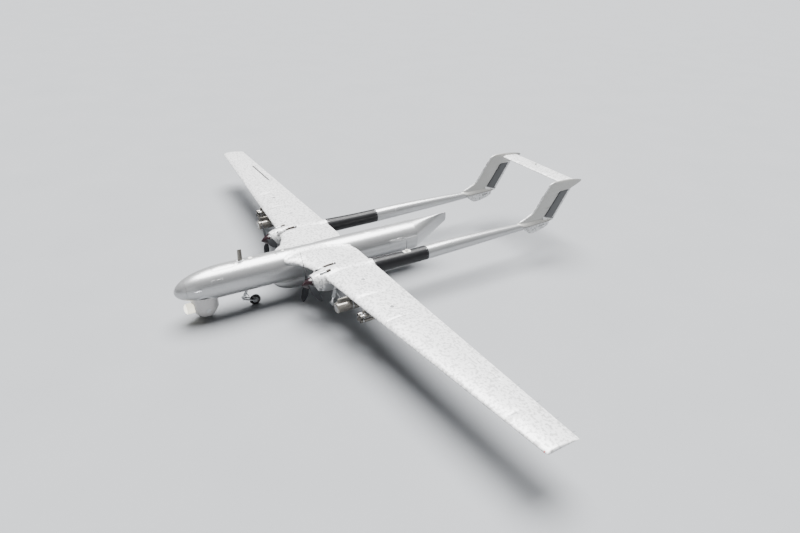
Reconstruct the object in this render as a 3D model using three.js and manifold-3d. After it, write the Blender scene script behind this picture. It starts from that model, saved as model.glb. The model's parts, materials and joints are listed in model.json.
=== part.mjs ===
// Fixed wing drone: twin engines, twin tail booms, high wing, tricycle wheels and a nose turret.
// Units are millimetres. +Z is up, -Y is forward, +X is the drone's left. The origin is on the
// ground, under the middle of the bounding box.
import * as THREE from 'three';
import { mergeVertices } from 'three/addons/utils/BufferGeometryUtils.js';
import Module from 'manifold-3d';

const wasm = await Module();
wasm.setup();

// ---- Driving dimensions ----
const SPAN = 24000;
const LENGTH = 16490;
const GAP = 0.4;                 // clearance between touching pieces
const SKIN = 8;                  // wall of the moulded shells

const FUSELAGE_RADIUS = 575;
const FUSELAGE_AXIS_Z = 1310;
const NOSE_TIP_Y = -LENGTH / 2;
const NOSE_LENGTH = 1900;
const NOSE_DROOP = 80;
const NOSE_CAP_END_Y = -7900;
const TAIL_CONE_START_Y = 1035;
const TAIL_CONE_LENGTH = 1700;
const TAIL_EDGE_BOTTOM_Z = 1566;
const TAIL_EDGE_TOP_Z = 1930;
const TAIL_KEEL_POWER = 1.4;     // how the keel curves up to the tail edge
const TAIL_WIDTH_POWER = 1.4;
const CANOE_TOP_Z = 800;
const CANOE_DEPTH = 520;
const CANOE_HALF_WIDTH = 210;

const WING_Z = 1665;
const WING_TRAILING_Y = -1755;
const ROOT_CHORD = 2170;
const CHORD_TAPER = 0.0955;      // chord lost per millimetre of span
const WING_THICKNESS_RATIO = 0.13;
const WING_CAMBER = 0.02;
const BOOM_X = 1930;

const AILERON_CHORD = 280;
const AILERON_NOSE_RADIUS = 27;
const AILERON_START_X = 7270;
const AILERON_END_X = 9470;
const HINGE_SLOT = 3;            // running gap in front of and beside each control surface

const SPINNER_BASE_Y = -4122;
const SPINNER_LENGTH = 360;
const SPINNER_RADIUS = 205;
const PROPELLER_Z = 1460;
const PROPELLER_Y = -4240;
const PROPELLER_RADIUS = 1170;
const LEFT_BLADE_ANGLES = [91, 211, 331];
const RIGHT_BLADE_ANGLES = [78, 198, 318];

// Exhaust pipes: offset outboard of the boom's axis, and a [y, z] track from the manifold back.
const INNER_PIPE = { offset: -220, radius: 34,
  track: [[-3885, 1618], [-3760, 1800], [-3400, 1856], [-3090, 1872]] };
const OUTER_PIPE = { offset: 120, radius: 38, track: [[-3885, 1618], [-3790, 1808], [-3440, 1856]] };

const FIN_THICKNESS = 110;
const STABILIZER_Z = 3020;
const STABILIZER_LEADING_Y = 7165;
const STABILIZER_TRAILING_Y = 7965;
const ELEVATOR_CHORD = 250;
const ELEVATOR_NOSE_RADIUS = 25;
const ELEVATOR_HALF_SPAN = BOOM_X - 120;
const RUDDER_NOSE_RADIUS = 34;

const TURRET_Y = -7285;
const TURRET_Z = 520;
const TURRET_RADIUS = 430;
const TURRET_COLLAR_RADIUS = 458;
const TURRET_ROOF_Z = 1004;
const WINDOW_RADIUS = 185;
const WINDOW_START = 360;        // from the ball's middle to the back of the window barrel
const WINDOW_REACH = 650;        // from the ball's middle to the front of the barrel
const WINDOW_BULGE = 70;         // how far the window bulges out of the barrel
const WINDOW_FACE_RADIUS = 110;
const TRUNNION_RADIUS = 45;

const NOSE_GEAR = { x: 0, topY: -5765, topZ: 900, kneeY: -5945, kneeZ: 370, axleY: -5515,
  wheelRadius: 200, wheelWidth: 110, rimRadius: 108, tube: 45 };
const MAIN_GEAR = { x: BOOM_X, topY: -3190, topZ: 1240, kneeY: -3360, kneeZ: 430, axleY: -2720,
  wheelRadius: 250, wheelWidth: 150, rimRadius: 140, tube: 58 };

const INNER_POD = { x: 3600, z: 1340, radius: 180, frontY: -4005, backY: -2520 };
const OUTER_POD = { x: 4550, z: 1395, tubeRadius: 62, spread: 78, frontY: -3675, backY: -2480 };
const HARDPOINT_X = 6000;
const HARDPOINT_Y = -2900;
const HARDPOINT_FACE_Z = 1520;

const ROUND = 22;                // sides of the large round shells
const UP = new THREE.Vector3(0, 1, 0);
const SIDES = [{ side: 'left', sign: 1 }, { side: 'right', sign: -1 }];

// ---- Materials ----
function paint(color, roughness, metalness) {
  return new THREE.MeshStandardMaterial({ color, roughness, metalness });
}

const bodyPaint = paint(0xd8d9da, 0.38, 0.1);
const darkPaint = paint(0x141416, 0.45, 0.1);
const rudderPaint = paint(0x55575a, 0.5, 0.1);
const spinnerPaint = paint(0x2a1519, 0.35, 0.2);
const bladeGrey = paint(0x4c4e52, 0.4, 0.2);
const gearPaint = paint(0xc9cbce, 0.4, 0.3);
const tyreRubber = paint(0x161616, 0.9, 0);
const rimMetal = paint(0xb5b8bb, 0.35, 0.9);
const podPaint = paint(0xa39d92, 0.4, 0.5);
const windowGlass = paint(0xfdf8e6, 0.1, 0);
const engineMetal = paint(0x7d8084, 0.4, 0.9);
const trayMetal = paint(0x9aa0a6, 0.5, 0.8);
const tankPlastic = paint(0xcfc8b4, 0.6, 0);

// ---- Solids ----
function solid(geometry) {
  const bare = geometry.index ? geometry.clone() : geometry;
  bare.deleteAttribute('normal');
  bare.deleteAttribute('uv');
  const merged = mergeVertices(bare, 1e-3);
  const vertProperties = new Float32Array(merged.attributes.position.array);
  const triVerts = new Uint32Array(merged.index.array);
  return new wasm.Manifold(new wasm.Mesh({ numProp: 3, vertProperties, triVerts }));
}

function geometryOf(body) {
  const mesh = body.getMesh();
  const geometry = new THREE.BufferGeometry();
  geometry.setAttribute('position', new THREE.BufferAttribute(new Float32Array(mesh.vertProperties), 3));
  geometry.setIndex(new THREE.BufferAttribute(new Uint32Array(mesh.triVerts), 1));
  geometry.computeVertexNormals();
  return geometry;
}

// Joins a list of closed rings, all with the same number of points, into one closed skin.
function loft(rings) {
  const count = rings[0].length;
  const points = rings.flat();
  const faces = [];
  for (let r = 0; r + 1 < rings.length; r += 1) {
    for (let i = 0; i < count; i += 1) {
      const a = r * count + i;
      const b = r * count + (i + 1) % count;
      faces.push(a, b, b + count, a, b + count, a + count);
    }
  }
  for (const [ring, last] of [[rings[0], false], [rings.at(-1), true]]) {
    const centre = points.length;
    points.push(ring.reduce((sum, p) => sum.add(p), new THREE.Vector3()).divideScalar(count));
    const base = last ? (rings.length - 1) * count : 0;
    for (let i = 0; i < count; i += 1) {
      const a = base + i;
      const b = base + (i + 1) % count;
      faces.push(...(last ? [a, b, centre] : [b, a, centre]));
    }
  }
  if (signedVolume(points, faces) < 0) faces.reverse();
  const geometry = new THREE.BufferGeometry().setFromPoints(points);
  geometry.setIndex(faces);
  return solid(geometry);
}

function signedVolume(points, faces) {
  let volume = 0;
  for (let i = 0; i < faces.length; i += 3) {
    const [a, b, c] = [points[faces[i]], points[faces[i + 1]], points[faces[i + 2]]];
    volume += a.dot(b.clone().cross(c));
  }
  return volume;
}

// Shrinks a ring about its own middle by the wall, along each axis that the ring spans.
function insetRing(ring, wall) {
  const box = new THREE.Box3().setFromPoints(ring);
  const middle = box.getCenter(new THREE.Vector3());
  const size = box.getSize(new THREE.Vector3());
  const factor = (extent) => (extent > Math.max(1, 2 * wall) ? (extent - 2 * wall) / extent : 1);
  return ring.map((p) => new THREE.Vector3(
    middle.x + (p.x - middle.x) * factor(size.x),
    middle.y + (p.y - middle.y) * factor(size.y),
    middle.z + (p.z - middle.z) * factor(size.z),
  ));
}

// The room inside a lofted shell. An open end runs on past the shell's end face.
function cavity(rings, wall, openStart, openEnd) {
  const inner = rings.map((ring) => insetRing(ring, wall));
  const ringStep = (from, to) => inner[to][0].clone().sub(inner[from][0]).normalize();
  const moved = (ring, step, distance) => ring.map((p) => p.clone().addScaledVector(step, distance));
  const last = inner.length - 1;
  const startStep = ringStep(1, 0);
  const endStep = ringStep(last - 1, last);
  inner[0] = moved(inner[0], startStep, openStart ? wall : -wall);
  inner[last] = moved(inner[last], endStep, openEnd ? wall : -wall);
  return loft(inner);
}

function shell(rings, wall, openStart, openEnd) {
  return loft(rings).subtract(cavity(rings, wall, openStart, openEnd));
}

function box(x0, x1, y0, y1, z0, z1) {
  const geometry = new THREE.BoxGeometry(x1 - x0, y1 - y0, z1 - z0);
  return solid(geometry.translate((x0 + x1) / 2, (y0 + y1) / 2, (z0 + z1) / 2));
}

function rod(start, end, radius, endRadius = radius, sides = 12) {
  const from = new THREE.Vector3(...start);
  const to = new THREE.Vector3(...end);
  const geometry = new THREE.CylinderGeometry(endRadius, radius, from.distanceTo(to), sides);
  const turn = new THREE.Quaternion().setFromUnitVectors(UP, to.clone().sub(from).normalize());
  geometry.applyQuaternion(turn);
  const middle = from.add(to).multiplyScalar(0.5);
  return solid(geometry.translate(middle.x, middle.y, middle.z));
}

function ball(x, y, z, radius, sides = 16) {
  return solid(new THREE.SphereGeometry(radius, sides, sides / 2).translate(x, y, z));
}

function join(...bodies) {
  return bodies.reduce((sum, body) => sum.add(body));
}

// A ring of the fuselage, a nacelle or a boom: an oval in a plane across Y.
function ovalRing(x, y, halfWidth, bottom, top, sides = ROUND) {
  return Array.from({ length: sides }, (_, i) => {
    const angle = (2 * Math.PI * i) / sides;
    const z = (bottom + top) / 2 + ((top - bottom) / 2) * Math.sin(angle);
    return new THREE.Vector3(x + halfWidth * Math.cos(angle), y, z);
  });
}

function roundRing(x, y, z, radius, sides = ROUND) {
  return ovalRing(x, y, radius, z - radius, z + radius, sides);
}

// An aerofoil outline from leading edge 0 to trailing edge 1, as [along, across] pairs.
function aerofoil(ratio, camber, steps = 8) {
  const half = (c) => 5 * ratio * (0.2969 * Math.sqrt(c) - 0.126 * c - 0.3516 * c ** 2
    + 0.2843 * c ** 3 - 0.1 * c ** 4);
  const rise = (c) => 4 * camber * c * (1 - c);
  const stations = Array.from({ length: steps }, (_, i) => (i / (steps - 1)) ** 1.7);
  const top = stations.map((c) => [c, rise(c) + half(c)]).reverse();
  const under = stations.slice(1).map((c) => [c, rise(c) - half(c)]);
  return [...top, ...under];
}

// A wing section in a plane across X.
function wingRing(x, leadY, trailY, z, thickness, grow = 0, camber = WING_CAMBER) {
  const chord = trailY - leadY;
  return aerofoil((thickness + 2 * grow) / chord, camber).map(([along, across]) => (
    new THREE.Vector3(x, leadY - grow + along * (chord + 2 * grow), z + across * chord)));
}

// A fin section in a plane across Z.
function finRing(x, z, leadY, trailY, thickness) {
  const chord = trailY - leadY;
  return aerofoil(thickness / chord, 0, 6).map(([along, across]) => (
    new THREE.Vector3(x + across * chord, leadY + along * chord, z)));
}

// ---- The finished pieces ----
const drone = new THREE.Group();

function piece(name, body, material) {
  const mesh = new THREE.Mesh(geometryOf(body), material);
  mesh.name = name;
  drone.add(mesh);
}

// ---- Fuselage ----
function fuselageRing(y) {
  const t = Math.min(1, (y - NOSE_TIP_Y) / NOSE_LENGTH);
  const radius = Math.max(4, FUSELAGE_RADIUS * Math.sqrt(1 - (1 - t) ** 2.5));
  const tail = Math.max(0, (y - TAIL_CONE_START_Y) / TAIL_CONE_LENGTH);
  const middle = FUSELAGE_AXIS_Z - NOSE_DROOP * (1 - t) ** 2;
  const top = middle + radius + (TAIL_EDGE_TOP_Z - FUSELAGE_AXIS_Z - FUSELAGE_RADIUS) * tail;
  const keelRise = TAIL_EDGE_BOTTOM_Z - (FUSELAGE_AXIS_Z - FUSELAGE_RADIUS);
  const bottom = middle - radius + keelRise * tail ** TAIL_KEEL_POWER;
  const halfWidth = Math.max(26, radius * Math.max(0, 1 - tail) ** TAIL_WIDTH_POWER);
  return ovalRing(0, y, t < 1 ? radius : halfWidth, bottom, top);
}

const noseStations = [0, 0.012, 0.05, 0.11, 0.1816].map((t) => NOSE_TIP_Y + t * NOSE_LENGTH);
const frontStations = [NOSE_CAP_END_Y + GAP, -7600, -7200, -6800, -6345];
const tailStations = [0, 0.12, 0.3, 0.5, 0.72, 1].map((t) => TAIL_CONE_START_Y + t * TAIL_CONE_LENGTH);
const cabinRings = [...frontStations, -4000, TAIL_CONE_START_Y - GAP].map(fuselageRing);

const pocketRadius = TURRET_COLLAR_RADIUS + 10;
const turretPocket = rod([0, TURRET_Y, 300], [0, TURRET_Y, TURRET_ROOF_Z + 6], pocketRadius,
  pocketRadius, 24);
const noseLegHole = rod([0, NOSE_GEAR.topY, 600], [0, NOSE_GEAR.topY, 800], 75);

// ---- Wing ----
function chordAt(x) {
  return ROOT_CHORD - CHORD_TAPER * Math.abs(x);
}

function panelRing(x, grow = 0) {
  const chord = chordAt(x);
  const lead = WING_TRAILING_Y - chord;
  return wingRing(x, lead, WING_TRAILING_Y, WING_Z, WING_THICKNESS_RATIO * chord, grow);
}

// The centre section's leading edge sweeps forward in a glove beside the fuselage.
const gloveLead = [[BOOM_X - GAP, -3741], [1250, -3915], [1030, -4035], [755, -4185], [640, -4350],
  [500, -4480]];
const CENTRE_DEPTH = 258;

function centreRings(grow = 0) {
  const rightHalf = gloveLead.map(([x, lead]) => [-x, lead]);
  const stations = [...rightHalf, ...gloveLead.toReversed()];
  return stations.map(([x, lead]) => wingRing(x, lead, WING_TRAILING_Y, WING_Z, CENTRE_DEPTH, grow));
}

const centreGrown = loft(centreRings(GAP));
const centreRoom = cavity(centreRings(), SKIN, true, true)
  .intersect(box(-SPAN, SPAN, -9000, WING_TRAILING_Y - 200, 0, 4000));
piece('wing_centre', loft(centreRings()).subtract(centreRoom), bodyPaint);

const hingeY = WING_TRAILING_Y - AILERON_CHORD;

function wingPanel(sign) {
  const rings = [BOOM_X + GAP, 4800, AILERON_START_X, AILERON_END_X, SPAN / 2]
    .map((x) => panelRing(sign * x));
  const rearSpar = box(-SPAN, SPAN, -9000, hingeY - 80, 0, 4000);
  const room = cavity(rings, SKIN, true, false).intersect(rearSpar);
  const pad = box(sign * HARDPOINT_X - 100, sign * HARDPOINT_X + 100, HARDPOINT_Y - 200,
    HARDPOINT_Y + 200, HARDPOINT_FACE_Z, WING_Z - 30);
  return { whole: loft(rings), room, pad };
}

function aileronZone(sign, margin, frontY) {
  const near = Math.min(sign * (AILERON_START_X - margin), sign * (AILERON_END_X + margin));
  const far = Math.max(sign * (AILERON_START_X - margin), sign * (AILERON_END_X + margin));
  return box(near, far, frontY, WING_TRAILING_Y + 50, WING_Z - 200, WING_Z + 200);
}

const aileronHingeZ = WING_Z + 10;

for (const { side, sign } of SIDES) {
  const { whole, room, pad } = wingPanel(sign);
  const cove = aileronZone(sign, HINGE_SLOT, hingeY - AILERON_NOSE_RADIUS - HINGE_SLOT);
  piece(`${side}_wing_panel`, whole.add(pad).subtract(room).subtract(cove), bodyPaint);
  const blank = whole.intersect(aileronZone(sign, 0, hingeY));
  const hingeTube = rod([sign * AILERON_START_X, hingeY, aileronHingeZ],
    [sign * AILERON_END_X, hingeY, aileronHingeZ], AILERON_NOSE_RADIUS);
  piece(`${side}_aileron`, blank.add(hingeTube), bodyPaint);
}

// ---- Fuselage pieces, cut round the wing ----
piece('nose_cap', shell(noseStations.map(fuselageRing), SKIN, false, true), bodyPaint);
const cabin = shell(cabinRings, SKIN, true, true).subtract(turretPocket).subtract(noseLegHole)
  .subtract(centreGrown);
piece('fuselage_shell', cabin, bodyPaint);
piece('tail_cone', shell(tailStations.map(fuselageRing), SKIN, true, false), bodyPaint);

const cabinRoom = cavity(cabinRings, SKIN + GAP, true, true);
const avionicsTray = cabinRoom.intersect(box(-450, 450, -6780, -6020, 960, 1060));
const avionicsBoxes = join(box(-300, -20, -6700, -6400, 1059, 1400),
  box(20, 300, -6700, -6400, 1059, 1340), box(-260, 260, -6340, -6080, 1059, 1300));
piece('avionics_tray', avionicsTray.add(avionicsBoxes), trayMetal);
piece('fuel_tank', cabinRoom.intersect(box(-500, 500, -5350, -4420, 900, 1560)), tankPlastic);

// A canoe-shaped radome under the belly.
const canoeStations = [-4830, -4680, -4200, -3650, -3200, -3050];
const canoeRings = canoeStations.map((y, i) => {
  const bulge = Math.max(0.015, Math.sin((Math.PI * i) / (canoeStations.length - 1)));
  const fullness = Math.sqrt(bulge);
  const keel = CANOE_TOP_Z - CANOE_DEPTH * fullness;
  return ovalRing(0, y, CANOE_HALF_WIDTH * fullness, keel, CANOE_TOP_Z, 12);
});
const cabinGrown = loft(cabinRings.map((ring) => insetRing(ring, -GAP)));
piece('belly_radome', shell(canoeRings, SKIN, false, false).subtract(cabinGrown), bodyPaint);

// ---- Nacelles, booms and engines ----
const boomTrack = [[-4115, 250, 1470], [-3950, 318, 1462], [-3700, 375, 1454], [-3355, 410, 1450],
  [-2700, 372, 1462], [-2200, 325, 1478], [-1755, 295, 1490], [-595, 272, 1486], [505, 270, 1489],
  [1615, 261, 1508], [3045, 228, 1514], [4745, 167, 1510], [6000, 105, 1508], [6750, 52, 1500]];

function boomRings(sign, firstY, lastY, trimStart, trimEnd) {
  const part = boomTrack.filter(([y]) => y >= firstY && y <= lastY);
  return part.map(([y, radius, z], i) => {
    const shift = (i === 0 ? trimStart : 0) - (i === part.length - 1 ? trimEnd : 0);
    return roundRing(sign * BOOM_X, y + shift, z, radius, 16);
  });
}

// Leg of a wheel: tube down to a knee, then a fork that trails back to the axle.
function trailingLeg(gear, sign, grow = 0) {
  const x = sign * gear.x;
  const forkX = gear.wheelWidth / 2 + gear.tube * 0.62 + 8;
  const knee = [x, gear.kneeY, gear.kneeZ];
  const parts = [rod([x, gear.topY, gear.topZ], knee, gear.tube + grow)];
  if (grow > 0) return parts[0];
  parts.push(rod([x - forkX, gear.kneeY, gear.kneeZ], [x + forkX, gear.kneeY, gear.kneeZ], gear.tube));
  for (const offset of [-forkX, forkX]) {
    const armX = x + offset;
    parts.push(rod([armX, gear.kneeY, gear.kneeZ], [armX, gear.axleY, gear.wheelRadius],
      gear.tube * 0.62, gear.tube * 0.5, 12));
  }
  parts.push(rod([x - forkX, gear.axleY, gear.wheelRadius], [x + forkX, gear.axleY, gear.wheelRadius],
    gear.tube * 0.42));
  return join(...parts);
}

function wheelRing(gear, sign, profile) {
  const geometry = new THREE.LatheGeometry(profile.map(([r, w]) => new THREE.Vector2(r, w)), 20);
  geometry.rotateZ(Math.PI / 2);
  return solid(geometry.translate(sign * gear.x, gear.axleY, gear.wheelRadius));
}

function tyre(gear, sign) {
  const { wheelRadius: outer, rimRadius: rim, wheelWidth } = gear;
  const half = wheelWidth / 2;
  const profile = [[rim + GAP, -half * 0.72], [outer * 0.88, -half], [outer, -half * 0.5],
    [outer, half * 0.5], [outer * 0.88, half], [rim + GAP, half * 0.72], [rim + GAP, -half * 0.72]];
  return wheelRing(gear, sign, profile);
}

function rim(gear, sign) {
  const bore = gear.tube * 0.42 + 1.5;
  const half = gear.wheelWidth * 0.36;
  const edge = gear.rimRadius;
  const profile = [[bore, -half], [edge * 0.8, -half * 0.5], [edge, -half], [edge, half],
    [edge * 0.8, half * 0.5], [bore, half], [bore, -half]];
  return wheelRing(gear, sign, profile);
}

function exhaustPipe({ offset, radius, track }, sign, grow) {
  const points = track.map(([y, z]) => [sign * (BOOM_X + offset), y, z]);
  const bends = points.slice(1, -1).map(([x, y, z]) => ball(x, y, z, radius + grow, 12));
  const tubes = points.slice(1).map((end, i) => rod(points[i], end, radius + grow, radius + grow, 12));
  return join(...tubes, ...bends);
}

// Two exhaust pipes that rise from a manifold and lie back along the top of a nacelle.
function exhaust(sign, grow = 0) {
  const ends = [INNER_PIPE, OUTER_PIPE].map((pipe) => sign * (BOOM_X + pipe.offset));
  const reach = OUTER_PIPE.radius + grow;
  const manifoldBox = box(Math.min(...ends) - reach, Math.max(...ends) + reach, -3920 - grow,
    -3850 + grow, 1590 - grow, 1645 + grow);
  return join(manifoldBox, exhaustPipe(INNER_PIPE, sign, grow), exhaustPipe(OUTER_PIPE, sign, grow));
}

for (const { side, sign } of SIDES) {
  const x = sign * BOOM_X;
  const panelGrown = loft([panelRing(sign * (BOOM_X - 40), GAP), panelRing(sign * 4800, GAP)]);
  const nacelle = shell(boomRings(sign, -4115, WING_TRAILING_Y, 0, GAP), SKIN, true, true);
  piece(`${side}_nacelle`, nacelle.subtract(centreGrown).subtract(panelGrown)
    .subtract(trailingLeg(MAIN_GEAR, sign, 6)).subtract(exhaust(sign, 2)), bodyPaint);
  piece(`${side}_exhaust`, exhaust(sign), darkPaint);
  const crankcase = rod([x, -3840, 1325], [x, -3380, 1325], 150, 150, 16);
  const shaft = rod([x, -4090, PROPELLER_Z], [x, -3800, PROPELLER_Z], 110, 120, 16);
  const cylinders = [-3720, -3510].map((y) => rod([x - 250, y, 1310], [x + 250, y, 1310], 72));
  piece(`${side}_engine`, join(crankcase, shaft, ...cylinders), engineMetal);
  piece(`${side}_boom_sleeve`, shell(boomRings(sign, WING_TRAILING_Y, 505, GAP, GAP), SKIN, true, true),
    darkPaint);
}

// ---- Fins, rudders and tail booms ----
const hingeFoot = { y: 6415, z: 1694 };
const hingeHead = { y: 7115, z: 2703 };
const hingeLean = (hingeHead.y - hingeFoot.y) / (hingeHead.z - hingeFoot.z);

function hingeYAt(z) {
  return hingeFoot.y + (z - hingeFoot.z) * hingeLean;
}

// Everything behind the rudder's hinge line, from one height to another.
function behindHinge(sign, shift, foot, head) {
  const x = sign * BOOM_X;
  const corners = [[-200, shift], [-200, 2000], [200, 2000], [200, shift]];
  return loft([foot, head].map((z) => corners.map(([across, back]) => (
    new THREE.Vector3(x + across, hingeYAt(z) + back, z)))));
}

function fin(sign) {
  const x = sign * BOOM_X;
  const lead = [[1500, 4900], [1700, 5020], [1850, 5370], [2010, 5685], [2735, 6200]];
  const lower = lead.map(([z, y]) => finRing(x, z, y, hingeYAt(z) + 60, FIN_THICKNESS));
  const cap = [[2734, 6200, 7690], [2884, 6315, 8085], [3013, 6415, LENGTH / 2], [3097, 6485, 7940],
    [3180, 6830, 7160]]
    .map(([z, front, back]) => finRing(x, z, front, back, FIN_THICKNESS * 0.9));
  const room = cavity(lower, SKIN, false, true).add(cavity(cap, SKIN, true, false));
  return loft(lower).subtract(behindHinge(sign, -RUDDER_NOSE_RADIUS - 16, 1300, 2800)).add(loft(cap))
    .subtract(room);
}

// The rudder's lower edge slopes down behind the end of the boom.
function rudder(sign) {
  const x = sign * BOOM_X;
  const blade = loft([[1480, 6905], [2698, 7675]]
    .map(([z, back]) => finRing(x, z, hingeYAt(z) - 260, back, 78)));
  const nose = rod([x, hingeYAt(1640), 1640], [x, hingeYAt(2690), 2690], RUDDER_NOSE_RADIUS, undefined, 16);
  const underEdge = loft([-300, 300].map((offset) => [[6000, 1858], [6000, 1000], [7400, 1000],
    [7400, 1313]].map(([y, z]) => new THREE.Vector3(x + offset, y, z))));
  return blade.intersect(behindHinge(sign, 0, 1400, 2710)).add(nose).subtract(underEdge);
}

function ventralFin(sign) {
  const x = sign * BOOM_X;
  return loft([[1450, 5180, 6700], [1301, 5380, 6675], [1196, 5530, 6475], [1120, 5640, 6180],
    [1086, 5720, 6040]].map(([z, front, back]) => finRing(x, z, front, back, 70)));
}

for (const { side, sign } of SIDES) {
  const boom = shell(boomRings(sign, 505, 6750, GAP, 0), SKIN, true, false);
  const boomGrown = loft(boomRings(sign, 505, 6750, GAP, 0).map((ring) => insetRing(ring, -GAP)));
  piece(`${side}_tail_boom`, boom, bodyPaint);
  piece(`${side}_fin`, fin(sign).subtract(boomGrown), bodyPaint);
  piece(`${side}_ventral_fin`, ventralFin(sign).subtract(boomGrown), bodyPaint);
  piece(`${side}_rudder`, rudder(sign), rudderPaint);
}

// ---- Tailplane ----
const tailRings = [-BOOM_X, BOOM_X].map((x) => (
  wingRing(x, STABILIZER_LEADING_Y, STABILIZER_TRAILING_Y, STABILIZER_Z, 92, 0, 0)));
const finsGrown = SIDES.map(({ sign }) => fin(sign)
  .add(box(sign * BOOM_X - 56, sign * BOOM_X + 56, 6000, 8400, 2900, 3150)));
const elevatorHingeY = STABILIZER_TRAILING_Y - ELEVATOR_CHORD;
const elevatorZone = (margin, frontY) => box(-ELEVATOR_HALF_SPAN - margin, ELEVATOR_HALF_SPAN + margin,
  frontY, STABILIZER_TRAILING_Y + 50, STABILIZER_Z - 200, STABILIZER_Z + 200);
const tailWhole = loft(tailRings);
const tailRoom = cavity(tailRings, SKIN, true, true)
  .intersect(box(-SPAN, SPAN, 0, elevatorHingeY - 70, 0, 4000));
piece('stabilizer', tailWhole.subtract(tailRoom)
  .subtract(elevatorZone(HINGE_SLOT, elevatorHingeY - ELEVATOR_NOSE_RADIUS - HINGE_SLOT))
  .subtract(join(...finsGrown)), bodyPaint);
piece('elevator', tailWhole.intersect(elevatorZone(0, elevatorHingeY))
  .add(rod([-ELEVATOR_HALF_SPAN, elevatorHingeY, STABILIZER_Z], [ELEVATOR_HALF_SPAN, elevatorHingeY,
    STABILIZER_Z], ELEVATOR_NOSE_RADIUS)), bodyPaint);

// ---- Propellers ----
// Blade sections from root to tip: [distance from the axis, half chord, half thickness, pitch].
const bladeStations = [[60, 44, 44, -55], [190, 44, 44, -55], [280, 85, 30, -42], [420, 128, 22, -32],
  [620, 140, 16, -24], [850, 122, 12, -18], [1050, 92, 9, -15], [PROPELLER_RADIUS, 40, 6, -13]];

function blade(sign, degrees, grow = 0) {
  const rings = bladeStations.map(([reach, halfChord, halfThick, pitch], station) => {
    const turn = THREE.MathUtils.degToRad(pitch);
    return Array.from({ length: 12 }, (_, i) => {
      const angle = (2 * Math.PI * i) / 12;
      const along = (halfChord + grow) * Math.cos(angle);
      const across = (halfThick + grow) * Math.sin(angle);
      return new THREE.Vector3(along * Math.cos(turn) - across * Math.sin(turn),
        along * Math.sin(turn) + across * Math.cos(turn), station === 0 ? reach - grow : reach);
    });
  });
  return loft(rings).rotate([0, degrees, 0]).translate([sign * BOOM_X, PROPELLER_Y, PROPELLER_Z]);
}

function spinner(sign) {
  const profile = [[0, 0], [SPINNER_RADIUS, 0]];
  for (let i = 1; i < 5; i += 1) {
    const t = i / 5;
    profile.push([SPINNER_RADIUS * (1 - t ** 1.7), SPINNER_LENGTH * t]);
  }
  profile.push([0, SPINNER_LENGTH]);
  const geometry = new THREE.LatheGeometry(profile.map(([r, h]) => new THREE.Vector2(r, h)), ROUND);
  geometry.rotateX(Math.PI);
  return solid(geometry.translate(sign * BOOM_X, SPINNER_BASE_Y, PROPELLER_Z));
}

for (const { side, sign } of SIDES) {
  const angles = sign > 0 ? LEFT_BLADE_ANGLES : RIGHT_BLADE_ANGLES;
  const sockets = angles.map((angle) => blade(sign, angle, GAP));
  piece(`${side}_spinner`, spinner(sign).subtract(join(...sockets)), spinnerPaint);
  angles.forEach((angle, i) => piece(`${side}_blade_${i + 1}`, blade(sign, angle), bladeGrey));
}

// ---- Turret ----
function windowBarrel(grow) {
  const radius = WINDOW_RADIUS + grow;
  const front = [0, TURRET_Y - WINDOW_REACH, TURRET_Z];
  const barrel = rod([0, TURRET_Y - WINDOW_START + grow, TURRET_Z], front, radius, radius, 24);
  const face = [0, TURRET_Y - WINDOW_REACH - WINDOW_BULGE, TURRET_Z];
  return barrel.add(rod(front, face, radius, WINDOW_FACE_RADIUS, 24));
}

// The pins on which the ball tilts in the collar.
function trunnions(grow) {
  const reach = TURRET_COLLAR_RADIUS - 10 + grow;
  const radius = TRUNNION_RADIUS + grow;
  return rod([-reach, TURRET_Y, TURRET_Z], [reach, TURRET_Y, TURRET_Z], radius, radius, 16);
}

const collarSlot = box(-WINDOW_RADIUS - 20, WINDOW_RADIUS + 20, TURRET_Y - 600, TURRET_Y - 50,
  TURRET_Z - 200, TURRET_Z + WINDOW_RADIUS + 12);
const collar = rod([0, TURRET_Y, TURRET_Z - 50], [0, TURRET_Y, TURRET_ROOF_Z], TURRET_COLLAR_RADIUS,
  TURRET_COLLAR_RADIUS, 24);
piece('turret_collar', collar.subtract(ball(0, TURRET_Y, TURRET_Z, TURRET_RADIUS + 18, 20))
  .subtract(collarSlot).subtract(trunnions(1.5)), bodyPaint);
piece('turret_ball', ball(0, TURRET_Y, TURRET_Z, TURRET_RADIUS, 20).add(trunnions(0))
  .subtract(windowBarrel(GAP)), bodyPaint);
piece('turret_window', windowBarrel(0), windowGlass);

// ---- Landing gear ----
const noseHousing = rod([0, NOSE_GEAR.topY, 752], [0, NOSE_GEAR.topY, 960], 70)
  .add(box(-420, 420, NOSE_GEAR.topY - 60, NOSE_GEAR.topY + 60, 905, 955).intersect(cabinRoom));
const noseSpindle = (grow) => rod([0, NOSE_GEAR.topY, 700], [0, NOSE_GEAR.topY, NOSE_GEAR.topZ + grow],
  NOSE_GEAR.tube + grow);
piece('nose_leg_housing', noseHousing.subtract(noseSpindle(3)), gearPaint);
const noseDrop = { ...NOSE_GEAR, topZ: 715 };
piece('nose_fork', noseSpindle(0).add(trailingLeg(noseDrop, 1)).add(ball(0, NOSE_GEAR.topY, 715, 52)),
  gearPaint);
piece('nose_rim', rim(NOSE_GEAR, 1), rimMetal);
piece('nose_tyre', tyre(NOSE_GEAR, 1), tyreRubber);
for (const { side, sign } of SIDES) {
  piece(`${side}_main_leg`, trailingLeg(MAIN_GEAR, sign), gearPaint);
  piece(`${side}_main_rim`, rim(MAIN_GEAR, sign), rimMetal);
  piece(`${side}_main_tyre`, tyre(MAIN_GEAR, sign), tyreRubber);
}

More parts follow.
